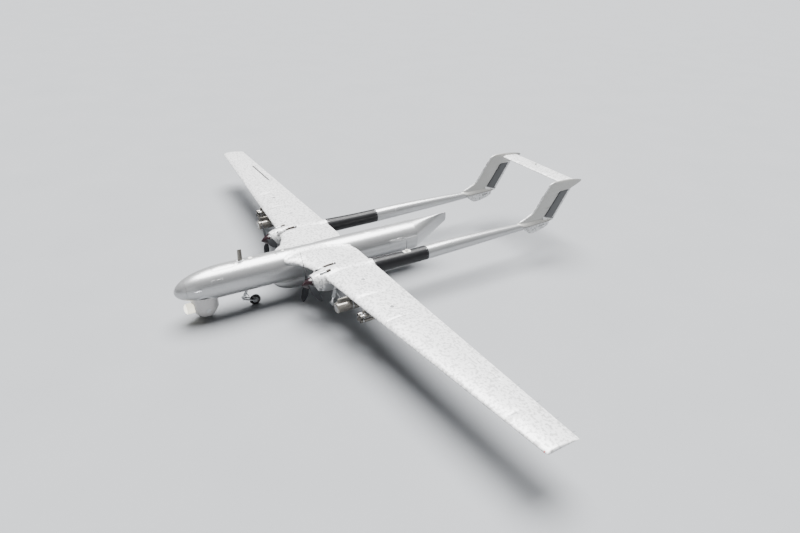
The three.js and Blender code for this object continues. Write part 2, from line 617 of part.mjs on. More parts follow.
// ---- Pods and pylons ----
function innerPod(sign, grow = 0) {
  const { x, z, radius, frontY, backY } = INNER_POD;
  const track = [[frontY, 0.94], [frontY + 40, 1], [backY - 420, 1], [backY - 200, 0.85],
    [backY - 60, 0.55], [backY, 0.3]];
  return loft(track.map(([y, part]) => roundRing(sign * x, y, z, radius * part + grow, 18)));
}

function outerPod(sign, grow = 0) {
  const { x, z, tubeRadius, spread, frontY, backY } = OUTER_POD;
  const corners = [[-spread, -spread], [spread, -spread], [spread, spread], [-spread, spread]];
  const tubes = corners.map(([dx, dz]) => rod([sign * x + dx, frontY - grow, z + dz],
    [sign * x + dx, backY + grow, z + dz], tubeRadius + grow, tubeRadius + grow, 12));
  const rail = box(sign * x - spread - grow, sign * x + spread + grow, frontY + 120 - grow,
    backY - 120 + grow, z - spread - grow, z + spread + grow);
  return join(rail, ...tubes);
}

for (const { side, sign } of SIDES) {
  const wingGrown = loft([2500, 5200].map((x) => panelRing(sign * x, GAP)));
  const pylon = (x, front, back, foot) => box(sign * x - 38, sign * x + 38, front, back, foot, 1700)
    .subtract(wingGrown);
  piece(`${side}_inner_pylon`, pylon(INNER_POD.x, -3960, -2760, INNER_POD.z)
    .subtract(innerPod(sign, GAP)), podPaint);
  piece(`${side}_inner_pod`, innerPod(sign), podPaint);
  piece(`${side}_outer_pylon`, pylon(OUTER_POD.x, -3560, -2620, OUTER_POD.z)
    .subtract(outerPod(sign, GAP)), podPaint);
  piece(`${side}_outer_pod`, outerPod(sign), podPaint);
}

// ---- Antennas ----
function antennaFin(y, foot, head, chord, width) {
  return loft([[foot, chord * 1.15], [head, chord]].map(([z, long]) => (
    finRing(0, z, y - long / 2, y + long / 2, width))));
}

piece('blade_antenna', antennaFin(-5905, 1850, 2310, 150, 34).subtract(cabinGrown), bladeGrey);
const sleeveGrown = loft(boomRings(1, WING_TRAILING_Y, 505, GAP, GAP)
  .map((ring) => insetRing(ring, -GAP)));
piece('mast_antenna', rod([BOOM_X, -325, 1700], [BOOM_X, -325, 1810], 70, 42)
  .add(rod([BOOM_X, -325, 1800], [BOOM_X, -325, 2185], 16, 10, 10)).subtract(sleeveGrown), bodyPaint);

export default drone;
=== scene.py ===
"""Fixed wing drone: the looks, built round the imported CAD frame.

Metres, in the CAD's own frame: +Z up, -Y forward, +X the drone's left. Every piece is made where
the CAD node that it stands for says, and rides on that node's body.
"""
import json
import math

import bmesh
import bpy
from mathutils import Matrix, Vector


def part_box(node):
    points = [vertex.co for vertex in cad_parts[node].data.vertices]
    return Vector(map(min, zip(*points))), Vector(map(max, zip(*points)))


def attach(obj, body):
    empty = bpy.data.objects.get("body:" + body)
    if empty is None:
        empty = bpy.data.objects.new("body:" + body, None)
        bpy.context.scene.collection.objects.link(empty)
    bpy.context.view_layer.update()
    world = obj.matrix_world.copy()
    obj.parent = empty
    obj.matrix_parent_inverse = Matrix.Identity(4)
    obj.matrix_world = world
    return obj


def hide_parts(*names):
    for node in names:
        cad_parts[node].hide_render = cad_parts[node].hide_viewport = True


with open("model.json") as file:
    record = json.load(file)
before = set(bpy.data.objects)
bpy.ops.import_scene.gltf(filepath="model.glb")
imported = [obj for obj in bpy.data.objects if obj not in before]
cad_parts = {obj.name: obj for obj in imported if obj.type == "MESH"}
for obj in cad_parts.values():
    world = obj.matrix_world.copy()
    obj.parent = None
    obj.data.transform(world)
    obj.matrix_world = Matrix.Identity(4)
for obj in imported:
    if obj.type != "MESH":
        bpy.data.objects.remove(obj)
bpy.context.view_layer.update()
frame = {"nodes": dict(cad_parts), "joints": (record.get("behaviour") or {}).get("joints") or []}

SIDES = (("left", 1), ("right", -1))
PIVOT = {joint["name"]: Vector(joint["pos_m"]) for joint in frame["joints"]}
BODY = "body_white"

# ---- Driving sizes, read from the frame where the frame has them ----
cabin_low, cabin_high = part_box("fuselage_shell")
nose_low, nose_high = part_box("nose_cap")
tail_low, tail_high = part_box("tail_cone")
sleeve_low, sleeve_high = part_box("left_boom_sleeve")

BODY_RADIUS = (cabin_high.x - cabin_low.x) / 2
BODY_Z = 1.31
NOSE_TIP = nose_low.y
NOSE_LENGTH = 1.9
NOSE_DROOP = 0.08
TAIL_START = tail_low.y
TAIL_LENGTH = tail_high.y - tail_low.y
TAIL_EDGE_BOTTOM = 1.566
TAIL_EDGE_TOP = tail_high.z
TAIL_KEEL_POWER = 1.4
TAIL_WIDTH_POWER = 1.4

TRAILING = -1.755
HALF_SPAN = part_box("left_wing_panel")[1].x
WING_Z = 1.665
ROOT_CHORD = 2.17
TAPER = 0.0955
WING_RATIO = 0.13
WING_CAMBER = 0.02
CENTRE_DEPTH = 0.258
TIP_ROUND = 0.05
ROOT_TUCK = 0.30
ROOT_TUCK_REACH = 0.95
HINGE_SLOT = 0.003
COVE_GAP = 0.030
BOOM_X = (sleeve_high.x + sleeve_low.x) / 2
HARDPOINT = Vector((6.0, -2.9, 1.52))


# ---- Small sums ----
def mix(a, b, t):
    return a + (b - a) * t


def spaced(start, end, count, power=1.0):
    return [mix(start, end, (i / (count - 1)) ** power) for i in range(count)]


def turns(sides):
    return [2 * math.pi * i / sides for i in range(sides)]


def half_shape(c):
    """Half thickness of an aerofoil at a chord fraction, for a thickness of 1."""
    return 5 * (0.2969 * math.sqrt(c) - 0.126 * c - 0.3516 * c ** 2 + 0.2843 * c ** 3 - 0.1 * c ** 4)


HALF_TURN = [math.pi * i / 12 for i in range(1, 12)]


def rise(camber, c):
    return 4 * camber * c * (1 - c)


def foil(ratio, steps=20):
    """A symmetric aerofoil outline of chord 1, as (along, across) pairs."""
    cs = [(i / steps) ** 1.8 for i in range(steps + 1)]
    return [(c, ratio * half_shape(c)) for c in cs[::-1]] + [(c, -ratio * half_shape(c)) for c in cs[1:]]


def table_at(table, x):
    """Reads a smooth curve through rows of (x, value, ...)."""
    x = min(max(x, table[0][0]), table[-1][0])
    k = max(i for i, row in enumerate(table[:-1]) if row[0] <= x)
    rows = [table[max(k - 1, 0)], table[k], table[k + 1], table[min(k + 2, len(table) - 1)]]
    span = rows[2][0] - rows[1][0]
    t = (x - rows[1][0]) / span
    values = []
    for column in range(1, len(rows[0])):
        v = [row[column] for row in rows]
        into = (v[2] - v[0]) / (rows[2][0] - rows[0][0]) * span
        out = (v[3] - v[1]) / (rows[3][0] - rows[1][0]) * span
        values.append((2 * t ** 3 - 3 * t ** 2 + 1) * v[1] + (t ** 3 - 2 * t ** 2 + t) * into
                      + (3 * t ** 2 - 2 * t ** 3) * v[2] + (t ** 3 - t ** 2) * out)
    return values


# ---- Mesh helpers ----
class Shape:
    """Points and faces gathered from several parts, which become one piece."""

    def __init__(self):
        self.points = []
        self.faces = []

    def add(self, points, faces):
        base = len(self.points)
        self.points.extend(Vector(p) for p in points)
        self.faces.extend([base + i for i in face] for face in faces)
        return self

    def join(self, other):
        return self.add(other.points, other.faces)


def flipped(point, side):
    return Vector((side * point.x, point.y, point.z))


def turned(shape, side):
    """The shape for the other side of the drone, when side is -1."""
    return Shape().add([flipped(p, side) for p in shape.points], shape.faces)


def moved(shape, matrix):
    return Shape().add([matrix @ p for p in shape.points], shape.faces)


def shape_of(work):
    """Turns a working mesh into a shape, and frees it."""
    work.verts.index_update()
    shape = Shape().add([v.co.copy() for v in work.verts], [[v.index for v in f.verts] for f in work.faces])
    work.free()
    return shape


def loft(rings, ends=(True, True), loop=False):
    """A skin through rings that all have the same number of points."""
    count, total = len(rings[0]), len(rings)
    faces = []
    for r in range(total if loop else total - 1):
        here, there = r * count, ((r + 1) % total) * count
        for i in range(count):
            j = (i + 1) % count
            faces.append((here + i, here + j, there + j, there + i))
    if ends[0] and not loop:
        faces.append(tuple(range(count)))
    if ends[1] and not loop:
        faces.append(tuple(range((total - 1) * count, total * count)))
    return Shape().add([p for ring in rings for p in ring], faces)


def across_axes(axis):
    side = axis.orthogonal().normalized()
    return side, axis.cross(side)


def circle(centre, axis, radius, sides):
    side, up = across_axes(Vector(axis).normalized())
    return [Vector(centre) + (side * math.cos(a) + up * math.sin(a)) * radius for a in turns(sides)]


def lathe(profile, start, axis, sides=48, loop=False):
    """Turns (distance along the axis, radius) pairs about an axis through start."""
    axis = Vector(axis).normalized()
    return loft([circle(Vector(start) + axis * along, axis, radius, sides) for along, radius in profile],
                loop=loop)


def band(place, half, crest, foot_radius, radius):
    """The profile of a band or groove round a tube, with its half width at the foot and the crest."""
    return [(place - half, foot_radius), (place - crest, radius),
            (place + crest, radius), (place + half, foot_radius)]


def rod(start, end, radius, end_radius=None, sides=20, soft=0.2):
    """A bar with softened ends."""
    last = radius if end_radius is None else end_radius
    axis = Vector(end) - Vector(start)
    edge = min(radius, last) * soft
    profile = [(0, radius - edge), (edge, radius), (axis.length - edge, last), (axis.length, last - edge)]
    return lathe(profile, start, axis, sides)


def carried_rings(points, radius, sides):
    """Round rings square to a path, whose axes don't twist."""
    outline = [(radius * math.cos(a), radius * math.sin(a)) for a in turns(sides)]
    rings, side = [], None
    for i, point in enumerate(points):
        ahead = (points[min(i + 1, len(points) - 1)] - points[max(i - 1, 0)]).normalized()
        side = across_axes(ahead)[0] if side is None else (side - ahead * side.dot(ahead)).normalized()
        up = ahead.cross(side)
        rings.append([point + side * a + up * b for a, b in outline])
    return rings


def tube(points, radius, sides=12):
    """A bent bar along a list of points."""
    return loft(carried_rings([Vector(p) for p in points], radius, sides))


def curve_through(points, steps=8):
    """A smooth path through points."""
    rows = [(i, *p) for i, p in enumerate(points)]
    count = (len(points) - 1) * steps
    return [Vector(table_at(rows, i / steps)) for i in range(count + 1)]


def pod(path, radii, sides=24):
    """A streamlined blob along a short path, with a radius at each point of it."""
    rows = [(i, *p, radius) for i, (p, radius) in enumerate(zip(path, radii))]
    steps = 16
    rings = []
    for i in range(steps + 1):
        t = 1 - math.cos(math.pi * i / steps)
        x, y, z, radius = table_at(rows, t / 2 * (len(path) - 1))
        shrink = math.sqrt(max(0.0, 1 - (1 - min(i, steps - i) / 3) ** 2)) if min(i, steps - i) < 3 else 1
        rings.append(circle((x, y, z), (0, 1, 0), max(0.0005, radius * shrink), sides))
    return loft(rings)


def block(low, high, bevel=0.01, segments=3):
    """A box with rounded edges."""
    low, high = Vector(low), Vector(high)
    size = high - low
    work = bmesh.new()
    bmesh.ops.create_cube(work, size=1)
    bmesh.ops.scale(work, vec=size, verts=work.verts)
    bmesh.ops.translate(work, vec=(low + high) / 2, verts=work.verts)
    bmesh.ops.bevel(work, geom=list(work.edges), offset=min(bevel, min(size) * 0.45),
                    segments=segments, affect="EDGES", profile=0.5)
    return shape_of(work)


def rounded(angle, corner=6):
    """A point on a rounded square of half width 1."""
    c, s = math.cos(angle), math.sin(angle)
    return (math.copysign(abs(c) ** (2 / corner), c), math.copysign(abs(s) ** (2 / corner), s))


def patch(surface, middle, size, proud=0.004, sides=40):
    """A plate with round corners that follows a surface. surface(u, v, lift) gives its points."""
    rings = []
    for scale, lift in ((1.0, -0.012), (1.0, proud * 0.5), (0.985, proud), (0.7, proud),
                        (0.35, proud), (0.02, proud)):
        rings.append([surface(middle[0] + size[0] * scale * rounded(a)[0],
                              middle[1] + size[1] * scale * rounded(a)[1], lift) for a in turns(sides)])
    return loft(rings)


def screw_ring(surface, middle, size, count, proud=0.006, radius=0.009):
    """Countersunk screw heads round the edge of a plate."""
    shape = Shape()
    for angle in turns(count):
        u = middle[0] + size[0] * 0.9 * rounded(angle)[0]
        v = middle[1] + size[1] * 0.9 * rounded(angle)[1]
        at = surface(u, v, proud)
        out = (at - surface(u, v, proud - 0.02)).normalized()
        head = [(-0.006, radius), (-0.001, radius), (0, radius * 0.8), (-0.001, radius * 0.3)]
        shape.join(lathe(head, at, out, 10))
    return shape


def cut_off(shape, point, normal):
    """Removes what lies beyond a plane, and closes the cut."""
    work = bmesh.new()
    verts = [work.verts.new(p) for p in shape.points]
    for face in shape.faces:
        work.faces.new([verts[i] for i in face])
    bmesh.ops.remove_doubles(work, verts=work.verts, dist=1e-6)
    bmesh.ops.bisect_plane(work, geom=[*work.verts, *work.edges, *work.faces], plane_co=point,
                           plane_no=normal, clear_outer=True)
    bmesh.ops.holes_fill(work, edges=[e for e in work.edges if e.is_boundary])
    return shape_of(work)


def placed(name, data):
    """Puts a mesh, camera or light into the scene."""
    thing = bpy.data.objects.new(name, data)
    bpy.context.scene.collection.objects.link(thing)
    return thing


def mark_wear(work):
    """Writes how sharp the edges at each vertex are, for the scuffs of the materials."""
    layer = work.verts.layers.float.new("wear")
    for vert in work.verts:
        angles = [edge.calc_face_angle(0.0) for edge in vert.link_edges]
        vert[layer] = min(1.0, max(angles, default=0.0) / 1.2)


def piece(name, shape, material, stands_for=(), body="airframe", slot=None, sharp=34):
    """Makes one visible piece, in place, with smooth faces and crisp edges.

    It takes its material's slot, unless another is named.
    """
    slot = slot or SLOT_OF[material.name]
    mesh = bpy.data.meshes.new(name)
    mesh.from_pydata([tuple(p) for p in shape.points], [], shape.faces)
    work = bmesh.new()
    work.from_mesh(mesh)
    bmesh.ops.remove_doubles(work, verts=work.verts, dist=2e-5)
    bmesh.ops.recalc_face_normals(work, faces=work.faces)
    mark_wear(work)
    work.to_mesh(mesh)
    work.free()
    mesh.shade_smooth()
    mesh.set_sharp_from_angle(angle=math.radians(sharp))
    mesh.materials.append(material)
    thing = placed(name, mesh)
    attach(thing, body)
    if stands_for:
        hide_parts(*stands_for)
    return thing


# ---- Materials ----
def shader(name, colour, roughness, metallic=0.0, coat=0.0):
    """A material with its main shader, and the object coordinates that its patterns use."""
    material = bpy.data.materials.new(name)
    material.use_nodes = True
    tree = material.node_tree
    main = tree.nodes["Principled BSDF"]
    main.inputs["Base Color"].default_value = (*colour, 1)
    main.inputs["Roughness"].default_value = roughness
    main.inputs["Metallic"].default_value = metallic
    main.inputs["Coat Weight"].default_value = coat
    place = tree.nodes.new("ShaderNodeTexCoord").outputs["Object"]
    return material, tree, main, place


def feed(tree, socket, value):
    """Links a socket, or sets it."""
    if isinstance(value, bpy.types.NodeSocket):
        tree.links.new(value, socket)
    elif isinstance(value, tuple) and socket.type == "RGBA":
        socket.default_value = (*value, 1)
    else:
        socket.default_value = value


def noise(tree, place, scale, detail=4.0, stretch=(1, 1, 1)):
    """Noise in the object's own metres, stretched along an axis if asked."""
    mapping = tree.nodes.new("ShaderNodeMapping")
    made = tree.nodes.new("ShaderNodeTexNoise")
    feed(tree, mapping.inputs["Vector"], place)
    feed(tree, mapping.inputs["Scale"], stretch)
    feed(tree, made.inputs["Vector"], mapping.outputs["Vector"])
    feed(tree, made.inputs["Scale"], scale)
    feed(tree, made.inputs["Detail"], detail)
    return made.outputs["Fac"]


def ramp(tree, value, low, high, out_low=0.0, out_high=1.0):
    """Maps a stretch of values to another, and holds the ends."""
    made = tree.nodes.new("ShaderNodeMapRange")
    for key, number in (("Value", value), ("From Min", low), ("From Max", high), ("To Min", out_low),
                        ("To Max", out_high)):
        feed(tree, made.inputs[key], number)
    return made.outputs["Result"]


def times(tree, a, b):
    made = tree.nodes.new("ShaderNodeMath")
    made.operation = "MULTIPLY"
    feed(tree, made.inputs[0], a)
    feed(tree, made.inputs[1], b)
    return made.outputs["Value"]


def blended(tree, factor, a, b):
    """Mixes two colours, each a colour or a socket."""
    made = tree.nodes.new("ShaderNodeMix")
    made.data_type = "RGBA"
    colours = [socket for socket in made.inputs if socket.type == "RGBA"]
    feed(tree, made.inputs["Factor"], factor)
    feed(tree, colours[0], a)
    feed(tree, colours[1], b)
    return next(socket for socket in made.outputs if socket.type == "RGBA")


def shaded(colour, amount):
    return tuple(min(1.0, c * amount) for c in colour)


def bumped(tree, main, height, strength, distance):
    made = tree.nodes.new("ShaderNodeBump")
    feed(tree, made.inputs["Height"], height)
    feed(tree, made.inputs["Strength"], strength)
    feed(tree, made.inputs["Distance"], distance)
    feed(tree, main.inputs["Normal"], made.outputs["Normal"])


def worn_edges(tree, place, colour, bare, amount):
    """Chips of another colour where the mesh says that an edge is sharp."""
    edge = tree.nodes.new("ShaderNodeAttribute")
    edge.attribute_name = "wear"
    chips = ramp(tree, noise(tree, place, 14.0, 6.0), 0.50, 0.62)
    return blended(tree, times(tree, times(tree, edge.outputs["Fac"], chips), amount), colour, bare)


def satin_paint(name, colour, mottle=0.06, speckle=0.12, roughness=0.32, grain=1.0, wear=0.35, sheen=0.0):
    """Sprayed satin paint: soft tone patches, fine speckle, streaks along the airflow, orange peel."""
    material, tree, main, place = shader(name, colour, roughness, sheen, coat=0.12)
    patches = ramp(tree, noise(tree, place, 0.9, 5.0), 0.3, 0.7)
    flecks = ramp(tree, noise(tree, place, 24.0 * grain, 3.0), 0.47, 0.62)
    streaks = ramp(tree, noise(tree, place, 1.0, 6.0, (9, 0.5, 9)), 0.52, 0.78)
    tone = blended(tree, patches, colour, shaded(colour, 1 - mottle))
    tone = blended(tree, flecks, tone, shaded(colour, 1 - speckle))
    dirty = tuple(c * s for c, s in zip(colour, (0.78, 0.77, 0.73)))
    tone = blended(tree, times(tree, streaks, 0.25), tone, dirty)
    tone = worn_edges(tree, place, tone, shaded(colour, 0.55), wear)
    feed(tree, main.inputs["Base Color"], tone)
    gloss = ramp(tree, noise(tree, place, 6.0, 4.0), 0.3, 0.7, roughness - 0.01, roughness + 0.02)
    feed(tree, main.inputs["Roughness"], gloss)
    bumped(tree, main, noise(tree, place, 90.0, 2.0), 0.08, 0.0015)
    return material


def worn_metal(name, colour, roughness, metallic=1.0, brushed=(1, 1, 1), scale=30.0):
    """Metal with fine scratches or casting grain, and duller patches."""
    material, tree, main, place = shader(name, colour, roughness, metallic)
    lines = noise(tree, place, scale, 5.0, brushed)
    patches = ramp(tree, noise(tree, place, 5.0, 4.0), 0.35, 0.7)
    tone = blended(tree, patches, colour, shaded(colour, 0.7))
    tone = worn_edges(tree, place, tone, shaded(colour, 1.5), 0.6)
    feed(tree, main.inputs["Base Color"], tone)
    feed(tree, main.inputs["Roughness"], ramp(tree, lines, 0.3, 0.7, roughness * 0.75, roughness * 1.35))
    bumped(tree, main, lines, 0.18, 0.001)
    return material


def rubber(name, dusty):
    """Black rubber, dusted where it rolls."""
    material, tree, main, place = shader(name, (0.016, 0.016, 0.017), 0.8)
    dust = ramp(tree, noise(tree, place, 12.0, 6.0), 0.45, 0.78, 0.0, dusty)
    feed(tree, main.inputs["Base Color"], blended(tree, dust, (0.016, 0.016, 0.017), (0.17, 0.16, 0.15)))
    feed(tree, main.inputs["Roughness"], ramp(tree, dust, 0.0, 1.0, 0.68, 0.92))
    bumped(tree, main, noise(tree, place, 160.0, 3.0), 0.25, 0.001)
    return material


def composite(name, colour, roughness, weave=55.0, shine=0.25):
    """Dark composite with a faint twill under satin varnish, and pale haze along the airflow."""
    material, tree, main, place = shader(name, colour, roughness, coat=shine * 0.2)
    main.inputs["Specular IOR Level"].default_value = shine
    wave = tree.nodes.new("ShaderNodeTexWave")
    wave.bands_direction = "DIAGONAL"
    feed(tree, wave.inputs["Vector"], place)
    feed(tree, wave.inputs["Scale"], weave)
    feed(tree, wave.inputs["Distortion"], 1.5)
    haze = ramp(tree, noise(tree, place, 2.0, 6.0, (4, 0.6, 4)), 0.5, 0.8, 0.0, 0.3)
    tone = blended(tree, times(tree, wave.outputs["Fac"], 0.45), colour, shaded(colour, 1.7))
    tone = worn_edges(tree, place, blended(tree, haze, tone, shaded(colour, 2.4)), shaded(colour, 2.5), 0.5)
    feed(tree, main.inputs["Base Color"], tone)
    gloss = ramp(tree, noise(tree, place, 9.0), 0.3, 0.7, roughness - 0.08, roughness + 0.12)
    feed(tree, main.inputs["Roughness"], gloss)
    bumped(tree, main, wave.outputs["Fac"], 0.06, 0.0008)
    return material


def glass(name, colour, glow=0.0):
    """A lens or lamp cover with a faint ripple; a window given a glow shines with painted light, though it
    is no lamp.
    """
    material, tree, main, place = shader(name, colour, 0.07, coat=1.0)
    haze = ramp(tree, noise(tree, place, 9.0, 3.0), 0.3, 0.7)
    feed(tree, main.inputs["Base Color"], blended(tree, haze, colour, shaded(colour, 0.86)))
    feed(tree, main.inputs["Roughness"], ramp(tree, haze, 0.0, 1.0, 0.04, 0.14))
    main.inputs["Emission Color"].default_value = (*colour, 1)
    main.inputs["Emission Strength"].default_value = glow
    bumped(tree, main, noise(tree, place, 60.0, 2.0), 0.06, 0.001)
    return material


paint = satin_paint("satin_light_grey_paint", (0.50, 0.503, 0.507), 0.05, 0.07, 0.30, 1.0, 0.15, 0.65)
wing_paint = satin_paint("speckled_wing_paint", (0.88, 0.88, 0.88), 0.05, 0.45, 0.34, 0.5, 0.2, 0.15)
# The fins' paint is a darker warm grey than the wing's: painted shade for the fin sides, which stand in
# shadow.
fin_shade_paint = satin_paint("warm_grey_painted_shade_fin", (0.52, 0.515, 0.49), 0.08, 0.14, 0.34, 1.0, 0.3, 0.15)
dark_paint = satin_paint("dark_grey_rudder_paint", (0.075, 0.077, 0.08), 0.20, 0.16, 0.42)
maroon = satin_paint("dark_maroon_spinner_paint", (0.020, 0.009, 0.012), 0.20, 0.05, 0.24)
gear_paint = satin_paint("light_grey_enamel", (0.62, 0.63, 0.64), 0.05, 0.10, 0.30, 3.0, 0.8)
pod_paint = satin_paint("beige_grey_pod_paint", (0.25, 0.235, 0.21), 0.10, 0.16, 0.22, 1.5, 0.8, 0.5)
white_plastic = satin_paint("ivory_radome_plastic", (0.78, 0.77, 0.72), 0.04, 0.06, 0.45, 2.0, 0.1)
tank_skin = satin_paint("cream_tank_skin", (0.66, 0.61, 0.50), 0.06, 0.08, 0.55)
sleeve_black = composite("satin_black_composite", (0.010, 0.010, 0.011), 0.40)
blade_grey = composite("grey_blade_composite", (0.022, 0.023, 0.025), 0.55, 80.0, 0.02)
chrome = worn_metal("polished_strut_chrome", (0.78, 0.79, 0.80), 0.10, 1.0, (1, 1, 14), 40.0)
steel = worn_metal("turned_steel", (0.50, 0.51, 0.53), 0.30, 1.0, (14, 1, 1), 60.0)
aluminium = worn_metal("machined_aluminium", (0.62, 0.63, 0.64), 0.30, 1.0, (1, 1, 1), 80.0)
cast_metal = worn_metal("cast_engine_metal", (0.40, 0.41, 0.43), 0.48, 1.0, (1, 1, 1), 120.0)
tray_metal = worn_metal("anodised_tray", (0.50, 0.53, 0.57), 0.40, 0.9, (1, 12, 1), 60.0)
soot = worn_metal("sooty_exhaust_steel", (0.07, 0.06, 0.055), 0.60, 0.7, (1, 1, 1), 90.0)
tyre_rubber = rubber("tyre_rubber", 0.9)
seal_rubber = rubber("black_seal", 0.15)
# The window and its barrel glow though they are no lamps: painted light for the bright highlight on them.
painted_glow_window = glass("cream_window_with_painted_glow", (0.97, 0.94, 0.80), 3.0)
lens_dark = glass("dark_lens", (0.012, 0.014, 0.024))
red_lamp = glass("red_lamp_glass", (0.50, 0.02, 0.015))
green_lamp = glass("green_lamp_glass", (0.02, 0.36, 0.08))
clear_lamp = glass("clear_lamp_glass", (0.78, 0.78, 0.76))
# Dark brown line paint: painted shade for the line where the boom's side turns into shade under the fin.
shade_line_paint = satin_paint("brown_painted_shade_line", (0.085, 0.065, 0.05), 0.2, 0.2, 0.6)
turret_paint = satin_paint("warm_white_turret_paint", (0.60, 0.585, 0.575), 0.05, 0.08, 0.36, 2.0, 0.35,
                           0.2)
# The barrel's glow is painted light too.
painted_glow_barrel = glass("cream_barrel_with_painted_glow", (0.96, 0.92, 0.76), 1.8)

SLOT_OF = {material.name: slot for slot, materials in {
    BODY: (paint, wing_paint, fin_shade_paint, gear_paint, white_plastic, turret_paint),
    "rim_metal": (steel, aluminium),
    "gear_grey": (chrome,),
    "sleeve_black": (sleeve_black, soot, shade_line_paint),
    "blade_grey": (blade_grey,),
    "tyre_rubber": (tyre_rubber, seal_rubber),
    "rudder_grey": (dark_paint,),
    "spinner_maroon": (maroon,),
    "pod_beige": (pod_paint,),
    "window_glass": (painted_glow_window, painted_glow_barrel, lens_dark, red_lamp, green_lamp, clear_lamp),
}.items() for material in materials}


# ---- Fuselage ----
def body_section(y, grow=0.0):
    """Half width, bottom and top of the fuselage at a station."""
    t = min(1.0, max(0.0, (y - NOSE_TIP) / NOSE_LENGTH))
    radius = max(0.003, BODY_RADIUS * math.sqrt(max(0.0, 1 - (1 - t) ** 2.5)))
    tail = min(1.0, max(0.0, (y - TAIL_START) / TAIL_LENGTH))
    middle = BODY_Z - NOSE_DROOP * (1 - t) ** 2
    top = middle + radius + (TAIL_EDGE_TOP - BODY_Z - BODY_RADIUS) * tail
    bottom = middle - radius + (TAIL_EDGE_BOTTOM - BODY_Z + BODY_RADIUS) * tail ** TAIL_KEEL_POWER
    width = radius if t < 1 else max(0.026, radius * (1 - tail) ** TAIL_WIDTH_POWER)
    return width + grow, bottom - grow, top + grow


def body_point(y, angle, grow=0.0):
    """A point on the fuselage; angle 0 is the left side and a quarter turn is the top."""
    width, bottom, top = body_section(y, grow)
    return Vector((width * math.cos(angle), y, (bottom + top) / 2 + (top - bottom) / 2 * math.sin(angle)))


def body_ring(y, grow=0.0, sides=96):
    return [body_point(y, angle, grow) for angle in turns(sides)]


def body_top(x, y):
    width, bottom, top = body_section(y)
    if abs(x) >= width:
        return BODY_Z - 1.0
    return (bottom + top) / 2 + (top - bottom) / 2 * math.sqrt(1 - (x / width) ** 2)


def seamed(ring_at, stations, depth=0.005, lip=0.003):
    """Rings along a body whose two ends turn in a little, which leaves a fine seam."""
    first, last = stations[0], stations[-1]
    middle = [ring_at(y, 0) for y in stations[1:-1]]
    return [ring_at(first + lip / 2, -depth), ring_at(first + lip, 0), *middle, ring_at(last - lip, 0),
            ring_at(last - lip / 2, -depth)]


def fuselage():
    tip = [body_ring(y) for y in spaced(NOSE_TIP, nose_high.y - 0.004, 26, 2.0)]
    piece("nose_cap_skin", loft([*tip, body_ring(nose_high.y - 0.001, -0.005)]), paint, ["nose_cap"])
    cabin = [*spaced(cabin_low.y, NOSE_TIP + NOSE_LENGTH, 24), *spaced(-6.2, cabin_high.y, 34)]
    piece("fuselage_skin", loft(seamed(body_ring, cabin)), paint, ["fuselage_shell"])
    rear = spaced(TAIL_START, TAIL_START + TAIL_LENGTH, 44)
    piece("tail_cone_skin", loft(seamed(body_ring, rear)), paint, ["tail_cone"])


def round_doors(doors_name, screws_name, surface, count, doors):
    """Access doors on a round body, each with a ring of screws.

    A door is (station, angle, half length, half width as an angle), with the angles in degrees.
    """
    plates, screws = Shape(), Shape()
    for y, degrees, half_length, half_degrees in doors:
        middle, size = (y, math.radians(degrees)), (half_length, math.radians(half_degrees))
        plates.join(patch(surface, middle, size))
        screws.join(screw_ring(surface, middle, size, count))
    piece(doors_name, plates, paint)
    piece(screws_name, screws, steel)


BODY_DOORS = ((-6.55, 90, 0.42, 24), (-4.9, 90, 0.30, 20), (-0.6, 90, 0.45, 18), (-6.9, 20, 0.22, 14),
              (-6.9, 160, 0.22, 14), (-5.0, -8, 0.34, 15), (-5.0, 188, 0.34, 15), (0.1, 8, 0.36, 16),
              (0.1, 172, 0.36, 16), (-1.6, -90, 0.5, 20))
COWL_DOORS = ((-3.62, -20, 0.17, 26), (-3.62, 200, 0.17, 26), (-3.1, -50, 0.24, 22),
              (-3.1, 230, 0.24, 22), (-2.25, -60, 0.22, 20), (-2.25, 240, 0.22, 20))
BOOM_DOORS = ((1.5, 30, 0.16, 22), (1.5, 150, 0.16, 22), (3.2, -90, 0.16, 22), (4.4, 15, 0.16, 22),
              (4.4, 165, 0.16, 22))


def turret_bezel():
    """The ring on the belly that the turret's collar turns inside."""
    centre = PIVOT["turret_pan"]
    collar_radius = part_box("turret_collar")[1].x
    rings = []
    for wider, lift in ((0.006, -0.03), (0.006, 0.010), (0.012, 0.014), (0.032, 0.012), (0.050, -0.02)):
        radius = collar_radius + wider
        ring = []
        for angle in turns(96):
            x, y = radius * math.cos(angle), centre.y + radius * math.sin(angle)
            width, bottom, top = body_section(y)
            reach = math.sqrt(max(0.0, 1 - min(1.0, abs(x) / width) ** 2))
            keel = (bottom + top) / 2 - (top - bottom) / 2 * reach
            ring.append(Vector((x, y, keel - lift)))
        rings.append(ring)
    piece("turret_bezel", loft(rings, loop=True), gear_paint)


RADOME_TOP = 0.80


def radome():
    """The canoe under the belly, whose top lies inside the fuselage."""
    low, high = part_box("belly_radome")
    half_length, middle = (high.y - low.y) / 2, (high.y + low.y) / 2
    depth, half_width = RADOME_TOP - low.z, (high.x - low.x) / 2
    rings = []
    for y in spaced(-0.995, 0.995, 40):
        fullness = math.sqrt(math.cos(math.pi / 2 * abs(y) ** 1.15))
        rings.append([Vector((half_width * fullness * math.cos(a), middle + y * half_length,
                              RADOME_TOP - depth / 2 * fullness * (1 + math.sin(a)))) for a in turns(48)])
    piece("radome_skin", loft(rings), paint, ["belly_radome"])


